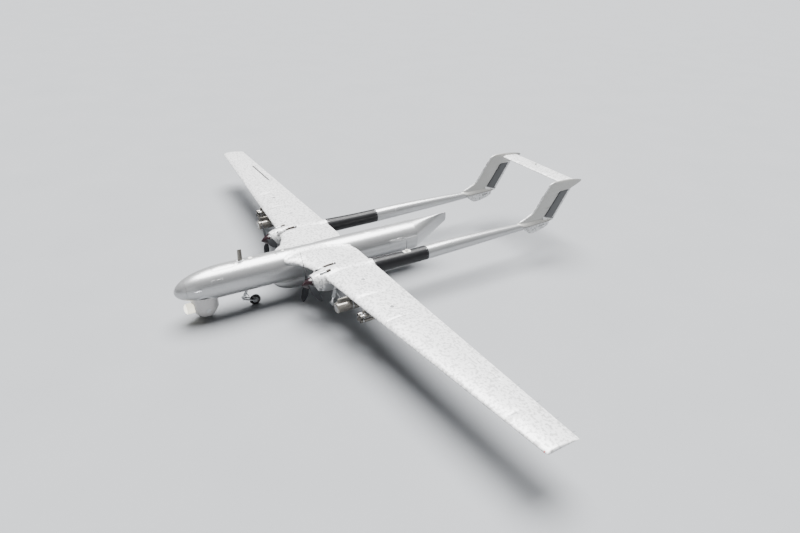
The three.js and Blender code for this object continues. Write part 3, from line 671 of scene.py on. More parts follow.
def antennas():
    """The upright blade on the crest and the low domes behind it."""
    low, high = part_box("blade_antenna")
    middle, chord = (low.y + high.y) / 2, (high.y - low.y) / 1.15
    rings = []
    for z in [*spaced(low.z - 0.01, high.z - 0.02, 8), high.z - 0.006, high.z]:
        t = (z - low.z) / (high.z - low.z)
        shrink = 0.80 if z == high.z else (0.95 if z > high.z - 0.01 else 1.0)
        long = chord * mix(1.15, 1.0, t) * shrink
        rings.append([Vector((across * long, middle + (along - 0.5) * long, z))
                      for along, across in foil(0.034 / chord)])
    piece("blade_antenna_mast", loft(rings), pod_paint, ["blade_antenna"], slot="blade_grey")
    crest, foot_size = (middle, math.pi / 2), (0.13, 0.13)
    foot = patch(body_point, crest, foot_size, 0.008)
    foot.join(screw_ring(body_point, crest, foot_size, 10, 0.010))
    piece("blade_antenna_foot", foot, gear_paint)
    domes = Shape()
    for y, radius in ((-5.55, 0.085), (-4.35, 0.06)):
        top = body_section(y)[2]
        domes.join(lathe([(-0.02, radius), (0.012, radius), (0.03, radius * 0.86), (0.038, radius * 0.5),
                          (0.040, 0.002)], (0, y, top - 0.006), (0, 0, 1)))
    piece("satellite_antennas", domes, white_plastic)


def nose_probes():
    """Air data tubes on the nose's sides, and static ports."""
    probes, ports = Shape(), Shape()
    for side in (1, -1):
        base = body_point(-7.45, math.radians(12 if side > 0 else 168), -0.01)
        out = Vector((side, 0, 0.1)).normalized()
        elbow = base + out * 0.09
        probes.join(tube(curve_through([base, elbow - out * 0.02, elbow + Vector((0, -0.05, 0)),
                                        elbow + Vector((0, -0.24, 0))]), 0.011))
        probes.join(lathe([(0, 0.034), (0.008, 0.034), (0.014, 0.024)], base, out, 24))
        for step in (0, 0.09):
            port = body_point(-6.75 + step, math.radians(2 if side > 0 else 178), -0.004)
            ports.join(lathe([(0, 0.022), (0.006, 0.022), (0.007, 0.008), (0.002, 0.006)], port,
                             (side, 0, 0), 24))
    piece("pitot_probes", probes, steel)
    piece("static_ports", ports, steel)


fuselage()
round_doors("body_hatches", "body_hatch_screws", body_point, 18, BODY_DOORS)
turret_bezel()
radome()
antennas()
nose_probes()


# ---- Wing ----
GLOVE = [(0.50, -4.48), (0.64, -4.35), (0.755, -4.185), (1.03, -4.035), (1.25, -3.915), (1.93, -3.741)]


def wing_plan(x):
    """Leading edge, trailing edge and thickness of the wing at a distance from the middle."""
    reach = abs(x)
    if reach < BOOM_X:
        lead = table_at(GLOVE, reach)[0]
        tuck = max(0.0, 1 - reach / ROOT_TUCK_REACH)
        return lead, TRAILING - ROOT_TUCK * tuck ** 2, CENTRE_DEPTH
    chord = ROOT_CHORD - TAPER * reach
    tip = max(0.0, (reach - HALF_SPAN + TIP_ROUND) / TIP_ROUND)
    trim = 1 - math.sqrt(max(0.0, 1 - tip ** 2))
    return TRAILING - chord + trim * 0.03, TRAILING - trim * 0.01, WING_RATIO * chord * (1 - 0.75 * trim)


def wing_skin(x, y, side=1, sink=0.0):
    """Height of the wing's upper (side 1) or lower (side -1) skin."""
    lead, trail, thick = wing_plan(x)
    chord = trail - lead
    c = min(1.0, max(0.0, (y - lead) / chord))
    return WING_Z + chord * rise(WING_CAMBER, c) + side * ((thick - 2 * sink) * half_shape(c))


def wing_outline(x, sink=0.0, cut=None, steps=30, rear_steps=10):
    """Front and rear points of a wing section, split where a hinged surface may begin."""
    lead, trail, _ = wing_plan(x)
    split = cut if cut else mix(lead, trail, 0.8)
    fore = [mix(lead, split, (i / steps) ** 2) for i in range(steps + 1)]
    aft = [mix(split, trail, (i + 1) / rear_steps) for i in range(rear_steps)]

    def at(y, side):
        return Vector((x, y, wing_skin(x, y, side, sink)))
    front = [at(y, 1) for y in fore[::-1]] + [at(y, -1) for y in fore[1:]]
    rear = [at(y, -1) for y in aft] + [at(y, 1) for y in aft[::-1]]
    return front, rear


def cove_points(start, end, depth, count=7):
    """A hollow front wall of the slot for a hinged surface."""
    return [start.lerp(end, i / (count + 1)) + Vector((0, -depth * math.sin(math.pi * i / (count + 1)), 0))
            for i in range(1, count + 1)]


def hinged_skin(stations, outline, cove_depth):
    """Skins a wing or fin whose rear is left out wherever a station is flagged.

    Each station is (place, sink, left_out), and the flag holds as far as the next station.
    """
    shape = Shape()

    def loop_at(station, left_out):
        front, rear = outline(station[0], station[1])
        inner = cove_points(front[-1], front[0], cove_depth)
        return front, rear, inner, front + (inner if left_out else rear)
    for here, there in zip(stations, stations[1:]):
        rings = [loop_at(here, here[2])[3], loop_at(there, here[2])[3]]
        shape.join(loft(rings, ends=(False, False)))
    before = None
    for station in stations:
        if before is not None and before[2] != station[2]:
            front, rear, inner, _ = loop_at(station, False)
            wall = [front[-1], *rear, front[0], *inner[::-1]]
            shape.add(wall, [tuple(range(len(wall)))])
        before = station
    for station, left_out in ((stations[0], stations[0][2]), (stations[-1], stations[-2][2])):
        ring = loop_at(station, left_out)[3]
        shape.add(ring, [tuple(range(len(ring)))])
    return shape


def seam(place, width=0.003, depth=0.0015):
    """Stations that cut a fine groove across a wing."""
    return [(place - 2 * width, 0.0), (place - width, depth),
            (place + width, depth), (place + 2 * width, 0.0)]


def wing_panels():
    for name, side in SIDES:
        aileron_low, aileron_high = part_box(f"{name}_aileron")
        hinge = PIVOT[f"{name}_aileron_hinge"]
        inner = min(abs(aileron_low.x), abs(aileron_high.x)) - HINGE_SLOT
        outer = max(abs(aileron_low.x), abs(aileron_high.x)) + HINGE_SLOT
        places = [(BOOM_X + 0.0005, 0.0), *[(x, 0.0) for x in spaced(2.4, inner, 12)],
                  *[(x, 0.0) for x in spaced(7.8, outer, 5)], *[(x, 0.0) for x in spaced(9.9, 11.7, 5)],
                  *[(HALF_SPAN - TIP_ROUND * (1 - t), 0.0) for t in (0, 0.35, 0.6, 0.8, 0.93, 1.0)]]
        for x in (4.05, 5.6, 10.6):
            places += seam(x)
        stations = [(x, sink, inner - 1e-6 <= x < outer - 1e-6) for x, sink in sorted(places)]

        def outline(x, sink, side=side, hinge=hinge):
            front, rear = wing_outline(x, sink, hinge.y - COVE_GAP)
            return [flipped(p, side) for p in front], [flipped(p, side) for p in rear]
        piece(f"{name}_wing_skin", hinged_skin(stations, outline, 0.014), wing_paint,
              [f"{name}_wing_panel"])
        aileron(name, side, hinge, inner + HINGE_SLOT, outer - HINGE_SLOT)
        hardpoint(name, side)


# The dark seal over the right aileron's slot: how far it starts and ends ahead of the slot, and how
# far it stands off the skin and sinks in at its edges.
SEAL_FRONT, SEAL_REAR = 0.095, 0.010
SEAL_PROUD, SEAL_SUNK = 0.0025, -0.003


def aileron(name, side, hinge, inner, outer):
    """The aileron, with a round nose that turns inside the slot, its horns, rods and fairings."""
    rings = []
    for x, trim in ((inner, 0.004), (inner + 0.004, 0.0),
                    *[(x, 0.0) for x in spaced(inner + 0.2, outer - 0.2, 6)],
                    (outer - 0.004, 0.0), (outer, 0.004)):
        ys = spaced(hinge.y, TRAILING, 12)
        top = [Vector((x, y, wing_skin(x, y, 1, trim))) for y in ys]
        under = [Vector((x, y, wing_skin(x, y, -1, trim))) for y in ys]
        middle, half = (top[0] + under[0]) / 2, (top[0].z - under[0].z) / 2
        nose = [middle + Vector((0, -0.026 * math.sin(a), -half * math.cos(a))) for a in HALF_TURN]
        rings.append([flipped(p, side) for p in top[::-1] + nose[::-1] + under])
    piece(f"{name}_aileron_skin", loft(rings), wing_paint, [f"{name}_aileron"],
          body=f"{name}_aileron_body")
    if name == "right":
        seal_front, seal_rear = hinge.y - COVE_GAP - SEAL_FRONT, hinge.y - COVE_GAP - SEAL_REAR
        rings = [[flipped(Vector((x, y, wing_skin(x, y) + lift)), side)
                  for y, lift in ((seal_front, SEAL_SUNK), (seal_front + 0.004, SEAL_PROUD),
                                  (seal_rear - 0.004, SEAL_PROUD), (seal_rear, SEAL_SUNK))]
                 for x in spaced(inner, outer, 12)]
        piece("right_aileron_gap_seal", loft(rings), seal_rubber)
    horns, places = Shape(), (mix(inner, outer, 0.5), mix(inner, outer, 0.12))
    for x in places:
        under = wing_skin(x, hinge.y, -1)
        horns.join(block((x - 0.012, hinge.y + 0.05, under - 0.05),
                         (x + 0.012, hinge.y + 0.13, under + 0.01), 0.006))
    piece(f"{name}_aileron_horns", turned(horns, side), gear_paint, body=f"{name}_aileron_body")
    fairings, rods = Shape(), Shape()
    for x in places:
        under = wing_skin(x, hinge.y - 0.2, -1)
        path = [Vector((x, hinge.y - 0.34, under + 0.006)), Vector((x, hinge.y - 0.20, under - 0.028)),
                Vector((x, hinge.y - 0.045, under - 0.034))]
        fairings.join(pod(path, (0.004, 0.026, 0.016)))
        rods.join(rod(path[2] + Vector((0, -0.03, 0)), (x, hinge.y - 0.012, under - 0.032), 0.005))
    piece(f"{name}_aileron_fairings", turned(fairings, side), wing_paint)
    piece(f"{name}_aileron_pushrods", turned(rods, side), steel)


def hardpoint(name, side):
    """The pad under the wing where a load bolts on."""
    pad = HARDPOINT
    under = wing_skin(pad.x, pad.y, -1)
    shape = block((pad.x - 0.1, pad.y - 0.2, pad.z), (pad.x + 0.1, pad.y + 0.2, under + 0.03), 0.008)
    piece(f"{name}_hardpoint_pad", turned(shape, side), wing_paint)
    bolts = Shape()
    for dx in (-0.07, 0.07):
        for dy in (-0.16, -0.055, 0.055, 0.16):
            bolts.join(lathe([(0, 0.0125), (-0.006, 0.012), (-0.007, 0.007), (-0.003, 0.006)],
                             (pad.x + dx, pad.y + dy, pad.z + 0.008), (0, 0, 1), 6))
    piece(f"{name}_hardpoint_bolts", turned(bolts, side), steel)


def wing_centre():
    xs = [*spaced(-BOOM_X + 0.0005, -0.7, 16), *spaced(-0.66, 0.66, 23), *spaced(0.7, BOOM_X - 0.0005, 16)]
    rings = []
    for x in xs:
        front, rear = wing_outline(x)
        rings.append(front + rear)
    piece("wing_centre_skin", loft(rings), wing_paint, ["wing_centre"])


def web(name, side, xs, other, blend, last_y, material):
    """Rounds the corner where another body's top comes up through the wing's top."""
    work = bmesh.new()
    rows = []
    for x in xs:
        lead = wing_plan(x)[0] + 0.004
        row = []
        for y in [mix(lead, last_y, (i / 70) ** 1.6) for i in range(71)]:
            a, b = wing_skin(x, y), other(x, y)
            gap = max(blend - abs(a - b), 0.0) / blend
            vert = work.verts.new((side * x, y, max(a, b) + gap * gap * blend / 4 - 0.002))
            row.append((vert, gap > 0.02))
        rows.append(row)
    for r0, r1 in zip(rows, rows[1:]):
        for a, b, c, d in zip(r0, r0[1:], r1[1:], r1):
            if all(corner[1] for corner in (a, b, c, d)):
                work.faces.new([corner[0] for corner in (a, b, c, d)])
    grown = bmesh.ops.extrude_face_region(work, geom=list(work.faces))
    lowered = [g for g in grown["geom"] if isinstance(g, bmesh.types.BMVert)]
    bmesh.ops.translate(work, vec=(0, 0, -0.05), verts=lowered)
    bmesh.ops.delete(work, geom=[v for v in work.verts if not v.link_faces], context="VERTS")
    shape = shape_of(work)
    # The extrusion gives its faces in no fixed order.
    shape.faces = sorted(min(face[i:] + face[:i] for i in range(len(face))) for face in shape.faces)
    piece(name, shape, material, sharp=60)


def wing_fittings():
    """Lamps at the tips, static wicks, fuel caps and hatches on the wing."""
    wicks, caps, screws, doors = Shape(), Shape(), Shape(), Shape()
    for name, side in SIDES:
        lead = wing_plan(HALF_SPAN - 0.12)[0]
        lamp = pod([Vector((HALF_SPAN - 0.10, lead + back, WING_Z)) for back in (-0.004, 0.05, 0.16)],
                   (0.012, 0.040, 0.028))
        piece(f"{name}_wingtip_lamp", turned(lamp, side), red_lamp if side > 0 else green_lamp)
        for x in (9.75, 10.5, 11.2, 11.75):
            start = Vector((side * x, TRAILING - 0.01, wing_skin(x, TRAILING)))
            wicks.join(rod(start, start + Vector((0, 0.13, -0.004)), 0.004, 0.002, 8))
        for x in (3.1, 5.0):
            base = (side * x, -2.75, wing_skin(x, -2.75) - 0.003)
            caps.join(lathe([(-0.01, 0.06), (0.004, 0.06), (0.008, 0.055), (0.008, 0.048), (0.005, 0.046),
                             (0.005, 0.002)], base, (0, 0.04, 1), 40))
        for x, y in ((2.75, -2.3), (4.5, -2.3), (6.4, -2.35), (8.37, -2.35)):
            at = wing_surface(side)
            doors.join(patch(at, (x, y), (0.17, 0.1), 0.003))
            screws.join(screw_ring(at, (x, y), (0.17, 0.1), 12, 0.0045))
    piece("static_wicks", wicks, seal_rubber)
    piece("fuel_caps", caps, aluminium)
    piece("wing_hatches", doors, wing_paint)
    piece("wing_hatch_screws", screws, steel)


def wing_surface(side):
    """The wing's top as a place from a spanwise and a chordwise number and a lift."""
    def at(x, y, lift=0.0):
        return Vector((side * x, y, wing_skin(x, y) + lift))
    return at


wing_panels()
wing_centre()
wing_fittings()
for side_name, side_sign in SIDES:
    web(f"{side_name}_wing_root_web", side_sign, spaced(0.10, 0.66, 57), body_top, 0.085, TRAILING - 0.1,
        wing_paint)


# ---- Nacelles, sleeves and tail booms ----
# Station, radius and height of the axis.
BOOM_TRACK = [(-4.115, 0.250, 1.470), (-3.950, 0.318, 1.462), (-3.700, 0.375, 1.454),
              (-3.355, 0.410, 1.450), (-2.700, 0.372, 1.462), (-2.200, 0.325, 1.478),
              (-1.755, 0.295, 1.490), (-0.595, 0.272, 1.486), (0.505, 0.270, 1.489),
              (1.615, 0.261, 1.508), (3.045, 0.228, 1.514), (4.745, 0.167, 1.510),
              (6.000, 0.105, 1.508), (6.750, 0.052, 1.500)]
BOOM_FRONT = BOOM_TRACK[0][0]
BOOM_END = BOOM_TRACK[-1][0]


def boom_surface(side):
    """A boom's skin as a place from a station, an angle and a lift; a quarter turn is the top."""
    def at(y, angle, lift=0.0):
        radius, z = table_at(BOOM_TRACK, y)
        size = radius + lift
        return Vector((side * (BOOM_X + size * math.cos(angle)), y, z + size * math.sin(angle)))
    return at


def boom_ring(y, lift, sides=72):
    at = boom_surface(1)
    return [at(y, angle, lift) for angle in turns(sides)]


def boom_top(x, y):
    radius, z = table_at(BOOM_TRACK, y)
    across = abs(x) - BOOM_X
    return z + math.sqrt(radius ** 2 - across ** 2) if abs(across) < radius else z - 1.0


def nacelle(name, side):
    stations = [*spaced(BOOM_FRONT + 0.02, -3.3, 16), *spaced(-3.2, TRAILING, 18)]
    rings = seamed(boom_ring, stations)[1:]
    lip = [boom_ring(BOOM_FRONT + y, lift) for y, lift in (
        (0.16, -0.085), (0.06, -0.052), (0.02, -0.042), (0.003, -0.028), (0.0, -0.014), (0.006, -0.003))]
    piece(f"{name}_nacelle_skin", turned(loft([*lip, *rings]), side), wing_paint, [f"{name}_nacelle"])
    web(f"{name}_nacelle_web", side, [BOOM_X + dx for dx in spaced(-0.56, 0.56, 113)], boom_top, 0.09, -1.9,
        wing_paint)
    at = boom_surface(side)
    round_doors(f"{name}_cowl_doors", f"{name}_cowl_screws", at, 16, COWL_DOORS)
    seams = Shape()
    for degrees in (62, 118):
        line = [at(y, math.radians(degrees), 0.0015) for y in spaced(-4.04, -3.42, 24)]
        seams.join(tube(line, 0.0045, 8))
    around = [at(-3.86, a, 0.0005) for a in spaced(math.radians(-230), math.radians(50), 64)]
    seams.join(tube(around, 0.004, 8))
    run = [wing_surface(side)(BOOM_X - 0.15 - 0.024 * (y + 2.35), y, 0.006)
           for y in spaced(-2.35, TRAILING - 0.02, 20)]
    seams.join(tube(run, 0.009, 8))
    piece(f"{name}_cowl_seams", seams, seal_rubber)


def intakes(name, side):
    """Cooling mouths low on the cowl, with dark screens in them, and louvres under the engine."""
    mouths, dark = Shape(), Shape()
    for degrees in (212, 328):
        angle = math.radians(degrees)
        out = Vector((side * math.cos(angle), 0, math.sin(angle)))
        centre = Vector((side * BOOM_X, -3.93, 1.462)) + out * 0.285

        def outline(r, y, centre=centre, out=out):
            wide = across_of(out) * 1.5
            return [centre + Vector((0, y, 0)) + r * (wide * math.cos(a) + out * math.sin(a))
                    for a in turns(32)]
        mouths.join(loft([outline(r, y) for r, y in (
            (0.040, 0.10), (0.046, -0.03), (0.052, -0.045), (0.062, -0.035), (0.066, 0.02), (0.05, 0.22),
            (0.02, 0.30))]))
        dark.join(loft([outline(r, y) for r, y in ((0.039, 0.02), (0.039, 0.03))]))
    piece(f"{name}_cooling_mouths", mouths, paint)
    piece(f"{name}_cooling_screens", dark, soot)
    louvres = Shape()
    at = boom_surface(1)
    for i in range(5):
        for degrees in (-118, -62):
            y = -3.02 + 0.07 * i
            ridge = [[at(y + along, math.radians(degrees + across), lift) for across in spaced(-12, 12, 9)]
                     for along, lift in ((0.0, -0.004), (0.012, 0.016), (0.05, 0.014), (0.055, -0.004))]
            louvres.join(slab(ridge))
    piece(f"{name}_cowl_louvres", turned(louvres, side), paint)


def across_of(out):
    return Vector((-out.z, 0, out.x))


def slab(rows):
    """A closed strip whose cross outline is the column of points and which runs along the rows."""
    return loft([[row[i] for row in rows] for i in range(len(rows[0]))])


# Exhaust pipes of a nacelle: offset from the boom, outboard if positive, radius and (y, z) track.
INNER_PIPE = (-0.220, 0.034, ((-3.885, 1.618), (-3.760, 1.800), (-3.400, 1.856), (-3.090, 1.872)))
OUTER_PIPE = (0.120, 0.038, ((-3.885, 1.618), (-3.790, 1.808), (-3.440, 1.856)))
PIPE_WALL = 0.005
# The hump over the inner pipe's foot, as (y, z, radius), and the scoop inboard of the boom.
EXHAUST_FAIRING = ((-3.93, 1.66, 0.03), (-3.82, 1.755, 0.065), (-3.70, 1.800, 0.060), (-3.52, 1.815, 0.045))
SCOOP_OFFSET = 0.17


def exhaust_pipe(offset, radius, track):
    """An open pipe that comes up through the cowl and lies back along its top, with two clamps."""
    points = [Vector((BOOM_X + offset, y, z)) for y, z in track]
    path = [points[0].lerp(points[1], 0.4), *curve_through(points[1:], 8)]
    bore = carried_rings(path, radius - PIPE_WALL, 24)
    pipe = loft([*carried_rings(path, radius, 24), *bore[:2:-1]])
    clamps = Shape()
    for i in (2, len(path) - 3):
        clamps.join(lathe(band(0, 0.012, 0.010, radius - 0.001, radius + 0.004), path[i],
                          path[i] - path[i - 1], 24, loop=True))
    return pipe, clamps


def exhaust(name, side):
    """A sooty pipe inboard with a fairing, a bright one outboard with a burnt tailpiece, and a scoop."""
    inner, inner_clamps = exhaust_pipe(*INNER_PIPE)
    outer, outer_clamps = exhaust_pipe(*OUTER_PIPE)
    piece(f"{name}_exhaust_pipes", turned(inner, side), soot, [f"{name}_exhaust"])
    piece(f"{name}_outer_exhaust", turned(outer, side), steel)
    piece(f"{name}_exhaust_clamps", turned(inner_clamps.join(outer_clamps), side), steel)
    offset, radius, track = OUTER_PIPE
    start, end = (Vector((BOOM_X + offset, y, z)) for y, z in track[1:])
    burnt = lathe([(-0.17, radius + 0.001), (-0.165, radius + 0.005), (-0.002, radius + 0.007),
                   (0.004, radius + 0.004), (0.002, radius - 0.006), (-0.10, radius - 0.010),
                   (-0.10, 0.002)], end, end - start, 24)
    piece(f"{name}_exhaust_tailpiece", turned(burnt, side), soot)
    scoop, x = Shape(), BOOM_X - SCOOP_OFFSET
    foot = boom_top(x, -3.80)
    for grow, depth in ((1.0, 0.0), (0.8, 0.004)):
        path = [Vector((x, -3.90 + depth, foot - 0.02)), Vector((x, -3.82 + depth, foot + 0.012)),
                Vector((x, -3.66, foot + 0.020))]
        scoop.join(pod(path, (0.030 * grow, 0.040 * grow, 0.012)))
    piece(f"{name}_cowl_scoop", turned(scoop, side), sleeve_black)
    hump = pod([Vector((BOOM_X + INNER_PIPE[0], y, z)) for y, z, _ in EXHAUST_FAIRING],
               [row[2] for row in EXHAUST_FAIRING], 32)
    piece(f"{name}_exhaust_fairing", turned(hump, side), wing_paint)


def boom(name, side):
    middle_low, middle_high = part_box(f"{name}_boom_sleeve")
    sleeve = seamed(boom_ring, spaced(middle_low.y, middle_high.y, 30))
    piece(f"{name}_sleeve_skin", turned(loft(sleeve), side), sleeve_black, [f"{name}_boom_sleeve"])
    tail_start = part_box(f"{name}_tail_boom")[0].y
    end = [boom_ring(BOOM_END - 0.012, -0.004), boom_ring(BOOM_END, -0.014)]
    rear = seamed(boom_ring, spaced(tail_start, BOOM_END - 0.02, 60))[:-1]
    piece(f"{name}_tail_boom_skin", turned(loft([*rear, *end]), side), paint, [f"{name}_tail_boom"])
    at = boom_surface(side)
    screws = Shape()
    for y in (TRAILING + 0.06, tail_start - 0.05, tail_start + 0.05):
        for angle in turns(18):
            head = at(y, angle, 0.0015)
            screws.join(lathe([(-0.005, 0.008), (0, 0.008), (0.001, 0.006), (0, 0.002)], head,
                              at(y, angle, 0.02) - head, 10))
    piece(f"{name}_sleeve_screws", screws, steel)
    round_doors(f"{name}_boom_doors", f"{name}_boom_door_screws", at, 12, BOOM_DOORS)


for side_name, side_sign in SIDES:
    nacelle(side_name, side_sign)
    intakes(side_name, side_sign)
    exhaust(side_name, side_sign)
    boom(side_name, side_sign)

# ---- Mast antenna on the left sleeve ----
MAST_LOW, MAST_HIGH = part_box("mast_antenna")
MAST_Y = (MAST_LOW.y + MAST_HIGH.y) / 2


def mast_antenna():
    """A whip on a round foot, on a plate with screws."""
    place, size = (MAST_Y, math.pi / 2), (0.15, 0.34)
    foot = lathe([(0, 0.068), (0.030, 0.069), (0.045, 0.062), (0.058, 0.046), (0.075, 0.038),
                  (0.080, 0.020)], (BOOM_X, MAST_Y, MAST_LOW.z), (0, 0, 1))
    foot.join(patch(boom_surface(1), place, size, 0.006))
    foot.join(screw_ring(boom_surface(1), place, size, 8, 0.008))
    piece("mast_antenna_foot", foot, white_plastic, ["mast_antenna"])
    tall = MAST_HIGH.z - MAST_LOW.z
    whip = lathe([(0, 0.013), (0.04, 0.013), (0.05, 0.009), (0.30, 0.007), (tall - 0.085, 0.006),
                  (tall - 0.070, 0.009), (tall - 0.062, 0.003)],
                 (BOOM_X, MAST_Y, MAST_LOW.z + 0.062), (0, 0, 1), 16)
    piece("mast_antenna_whip", whip, seal_rubber, slot="blade_grey")


mast_antenna()


# ---- Fins and rudders ----
FIN_LEAD = [(1.500, 4.900), (1.700, 5.020), (1.850, 5.370), (2.010, 5.685), (2.735, 6.200), (2.884, 6.315),
            (3.013, 6.415), (3.097, 6.485), (3.165, 6.68), (3.180, 6.830)]
CAP_TRAIL = [(2.734, 7.690), (2.884, 8.085), (3.013, 8.245), (3.097, 7.940), (3.165, 7.42), (3.180, 7.160)]
CAP_FOOT = 2.72
FIN_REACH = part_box("left_fin")[1].y
FIN_TOP = 3.180
FIN_THICKNESS = 0.108
FIN_COVE = 0.050
HINGE_FOOT = PIVOT["left_rudder_hinge"]
HINGE_LEAN = 0.570014 / 0.821635
RUDDER_FOOT, RUDDER_HEAD = (1.480, 6.905), (2.698, 7.675)
RUDDER_THICKNESS = 0.078
# The rudder's lower edge, as a point (y, z) and the way that faces down from it, and the pale strip
# along its trailing edge, as (half width, distance behind the edge), from the back.
RUDDER_EDGE = (6.0, 1.858)
RUDDER_SLOPE = Vector((0, -0.545, -1.4)).normalized()
RUDDER_STRIP = ((0.006, 0.004), (0.012, -0.015), (0.020, -0.118), (0.016, -0.125))


def hinge_y(z):
    return HINGE_FOOT.y + (z - HINGE_FOOT.z) * HINGE_LEAN


def rudder_trail(z):
    """The rudder's trailing edge at a height."""
    return mix(RUDDER_FOOT[1], RUDDER_HEAD[1], (z - RUDDER_FOOT[0]) / (RUDDER_HEAD[0] - RUDDER_FOOT[0]))


def mirrored_ring(flank, z, nose=()):
    """A section that is the same on both sides, from (x, y) pairs down one side and round the nose."""
    right = [Vector((-x, y, z)) for x, y in flank]
    return [Vector((x, y, z)) for x, y in [*flank[::-1], *nose]] + right


def fin_outline(z, sink):
    """Front and rear points of a fin section; the rear is there only in the cap."""
    lead = table_at(FIN_LEAD, z)[0]
    trail = table_at(CAP_TRAIL, z)[0]
    split = min(hinge_y(z) - FIN_COVE, mix(lead, trail, 0.85))
    crown = max(0.0, (z - 3.0) / (FIN_TOP - 3.0))
    thick = (FIN_THICKNESS - 2 * sink) * math.sqrt(max(0.02, 1 - crown ** 3))
    closing = trail if z >= CAP_FOOT else hinge_y(z) + 0.06

    def at(y, side):
        c = (y - lead) / (closing - lead)
        return Vector((side * thick * half_shape(min(1.0, max(0.0, c))), min(y, FIN_REACH), z))
    fore = [mix(lead, split, (i / 20) ** 2) for i in range(21)]
    aft = [mix(split, trail, (i + 1) / 10) for i in range(10)]
    front = [at(y, 1) for y in fore[::-1]] + [at(y, -1) for y in fore[1:]]
    return front, [at(y, -1) for y in aft] + [at(y, 1) for y in aft[::-1]]


def fins():
    places = [*[(z, 0.0) for z in spaced(1.5, CAP_FOOT, 28)],
              *[(z, 0.0) for z in spaced(CAP_FOOT + 0.02, FIN_TOP - 0.06, 18)],
              *[(z, 0.0) for z in (3.14, 3.155, 3.165, 3.172, 3.177, FIN_TOP)]]
    stations = [(z, sink, z < CAP_FOOT - 1e-6) for z, sink in places]
    skin = hinged_skin(stations, fin_outline, 0.012)
    rings = []
    for z in spaced(RUDDER_FOOT[0], RUDDER_HEAD[0], 16):
        hinge, lead, trail = hinge_y(z), hinge_y(z) - 0.26, rudder_trail(z)
        half = RUDDER_THICKNESS * half_shape((hinge - lead) / (trail - lead))
        ys = spaced(hinge, trail, 12)
        flank = [(RUDDER_THICKNESS * half_shape(min(1, (y - lead) / (trail - lead))), y) for y in ys]
        nose = [(half * math.cos(a), hinge - 0.031 * math.sin(a)) for a in HALF_TURN]
        rings.append(mirrored_ring(flank, z, nose))
    rudder = cut_off(loft(rings), Vector((0, *RUDDER_EDGE)), RUDDER_SLOPE)
    strip = []
    for z in spaced(RUDDER_FOOT[0] + 0.10, RUDDER_HEAD[0], 10):
        flank = [(half, rudder_trail(z) + back) for half, back in RUDDER_STRIP]
        strip.append(mirrored_ring(flank, z))
    edge = cut_off(loft(strip), Vector((0, *RUDDER_EDGE)), RUDDER_SLOPE)
    for name, side in SIDES:
        shift = Matrix.Translation((side * BOOM_X, 0, 0))
        # The fin skin takes the darker fin paint, painted shade.
        piece(f"{name}_fin_skin", moved(skin, shift), fin_shade_paint, [f"{name}_fin"])
        body = f"{name}_rudder_body"
        piece(f"{name}_rudder_skin", moved(rudder, shift), dark_paint, [f"{name}_rudder"], body=body)
        piece(f"{name}_rudder_edge", moved(edge, shift), wing_paint, body=body, slot="rudder_grey")
        leading_edge(name, side)
        fin_root(name, side)
        boom_tail_fairing(name, side)
        fin_details(name, side)


def leading_edge(name, side):
    """A strip of the pale wing paint along the fin's leading edge: a painted highlight where the light
    catches it.
    """
    rings = []
    for z in spaced(1.74, 3.15, 60):
        lead = table_at(FIN_LEAD, z)[0]
        front, _ = fin_outline(z, 0.0)
        near = front[len(front) // 2 - 6:len(front) // 2 + 7]
        outer = [Vector((side * BOOM_X + p.x * 1.06, lead - 0.004 + (p.y - lead) * 0.9, z)) for p in near]
        inner = [Vector((side * BOOM_X + p.x * 0.8, p.y + 0.010, z)) for p in near]
        rings.append(outer + inner[::-1])
    piece(f"{name}_fin_edge_painted_highlight", loft(rings), wing_paint)


def fin_root(name, side):
    """The fairing that carries the fin down over the top half of the boom, in the darker fin paint, which
    is painted shade.
    """
    rings = []
    for y in [*spaced(4.95, 5.30, 12), *spaced(5.34, 6.70, 34)]:
        radius, z = table_at(BOOM_TRACK, y)
        half_angle = math.radians(mix(14, 90, min(1.0, (y - 4.95) / 0.35) ** 0.6))
        fillet = 0.06 * min(1.0, max(0.0, (y - 4.95) / 0.3)) * min(1.0, max(0.0, (6.5 - y) / 0.3))
        outer, inner = [], []
        for angle in spaced(math.pi / 2 - half_angle, math.pi / 2 + half_angle, 33):
            near = max(0.0, 1 - abs(radius * math.cos(angle)) / 0.10)
            lift = 0.006 + fillet * near ** 2
            for points, size in ((outer, radius + lift), (inner, radius - 0.006)):
                x = side * BOOM_X + size * math.cos(angle)
                points.append(Vector((x, y, z + size * math.sin(angle))))
        rings.append(outer + inner[::-1])
    piece(f"{name}_fin_root", loft(rings), fin_shade_paint)


TAIL_FAIRING_FRONT, TAIL_FAIRING_LENGTH = 6.30, 0.63
RUDDER_EDGE_FALL = 0.389
RUDDER_EDGE_GAP = 0.016


def boom_tail_fairing(name, side):
    """The blade that fills the space between the boom's end and the rudder's lower edge."""
    rings = []
    for y in spaced(TAIL_FAIRING_FRONT, TAIL_FAIRING_FRONT + TAIL_FAIRING_LENGTH, 22):
        t = (y - TAIL_FAIRING_FRONT) / TAIL_FAIRING_LENGTH
        top = RUDDER_EDGE[1] - RUDDER_EDGE_FALL * (y - RUDDER_EDGE[0]) - RUDDER_EDGE_GAP
        bottom = mix(1.46, 1.47, t)
        half, height, middle = mix(0.046, 0.016, t ** 2), (top - bottom) / 2, (top + bottom) / 2
        outline = [rounded(a, 3) for a in turns(32)]
        rings.append([Vector((side * BOOM_X + half * u, y, middle + height * v)) for u, v in outline])
    piece(f"{name}_boom_tail_fairing", loft(rings), wing_paint)


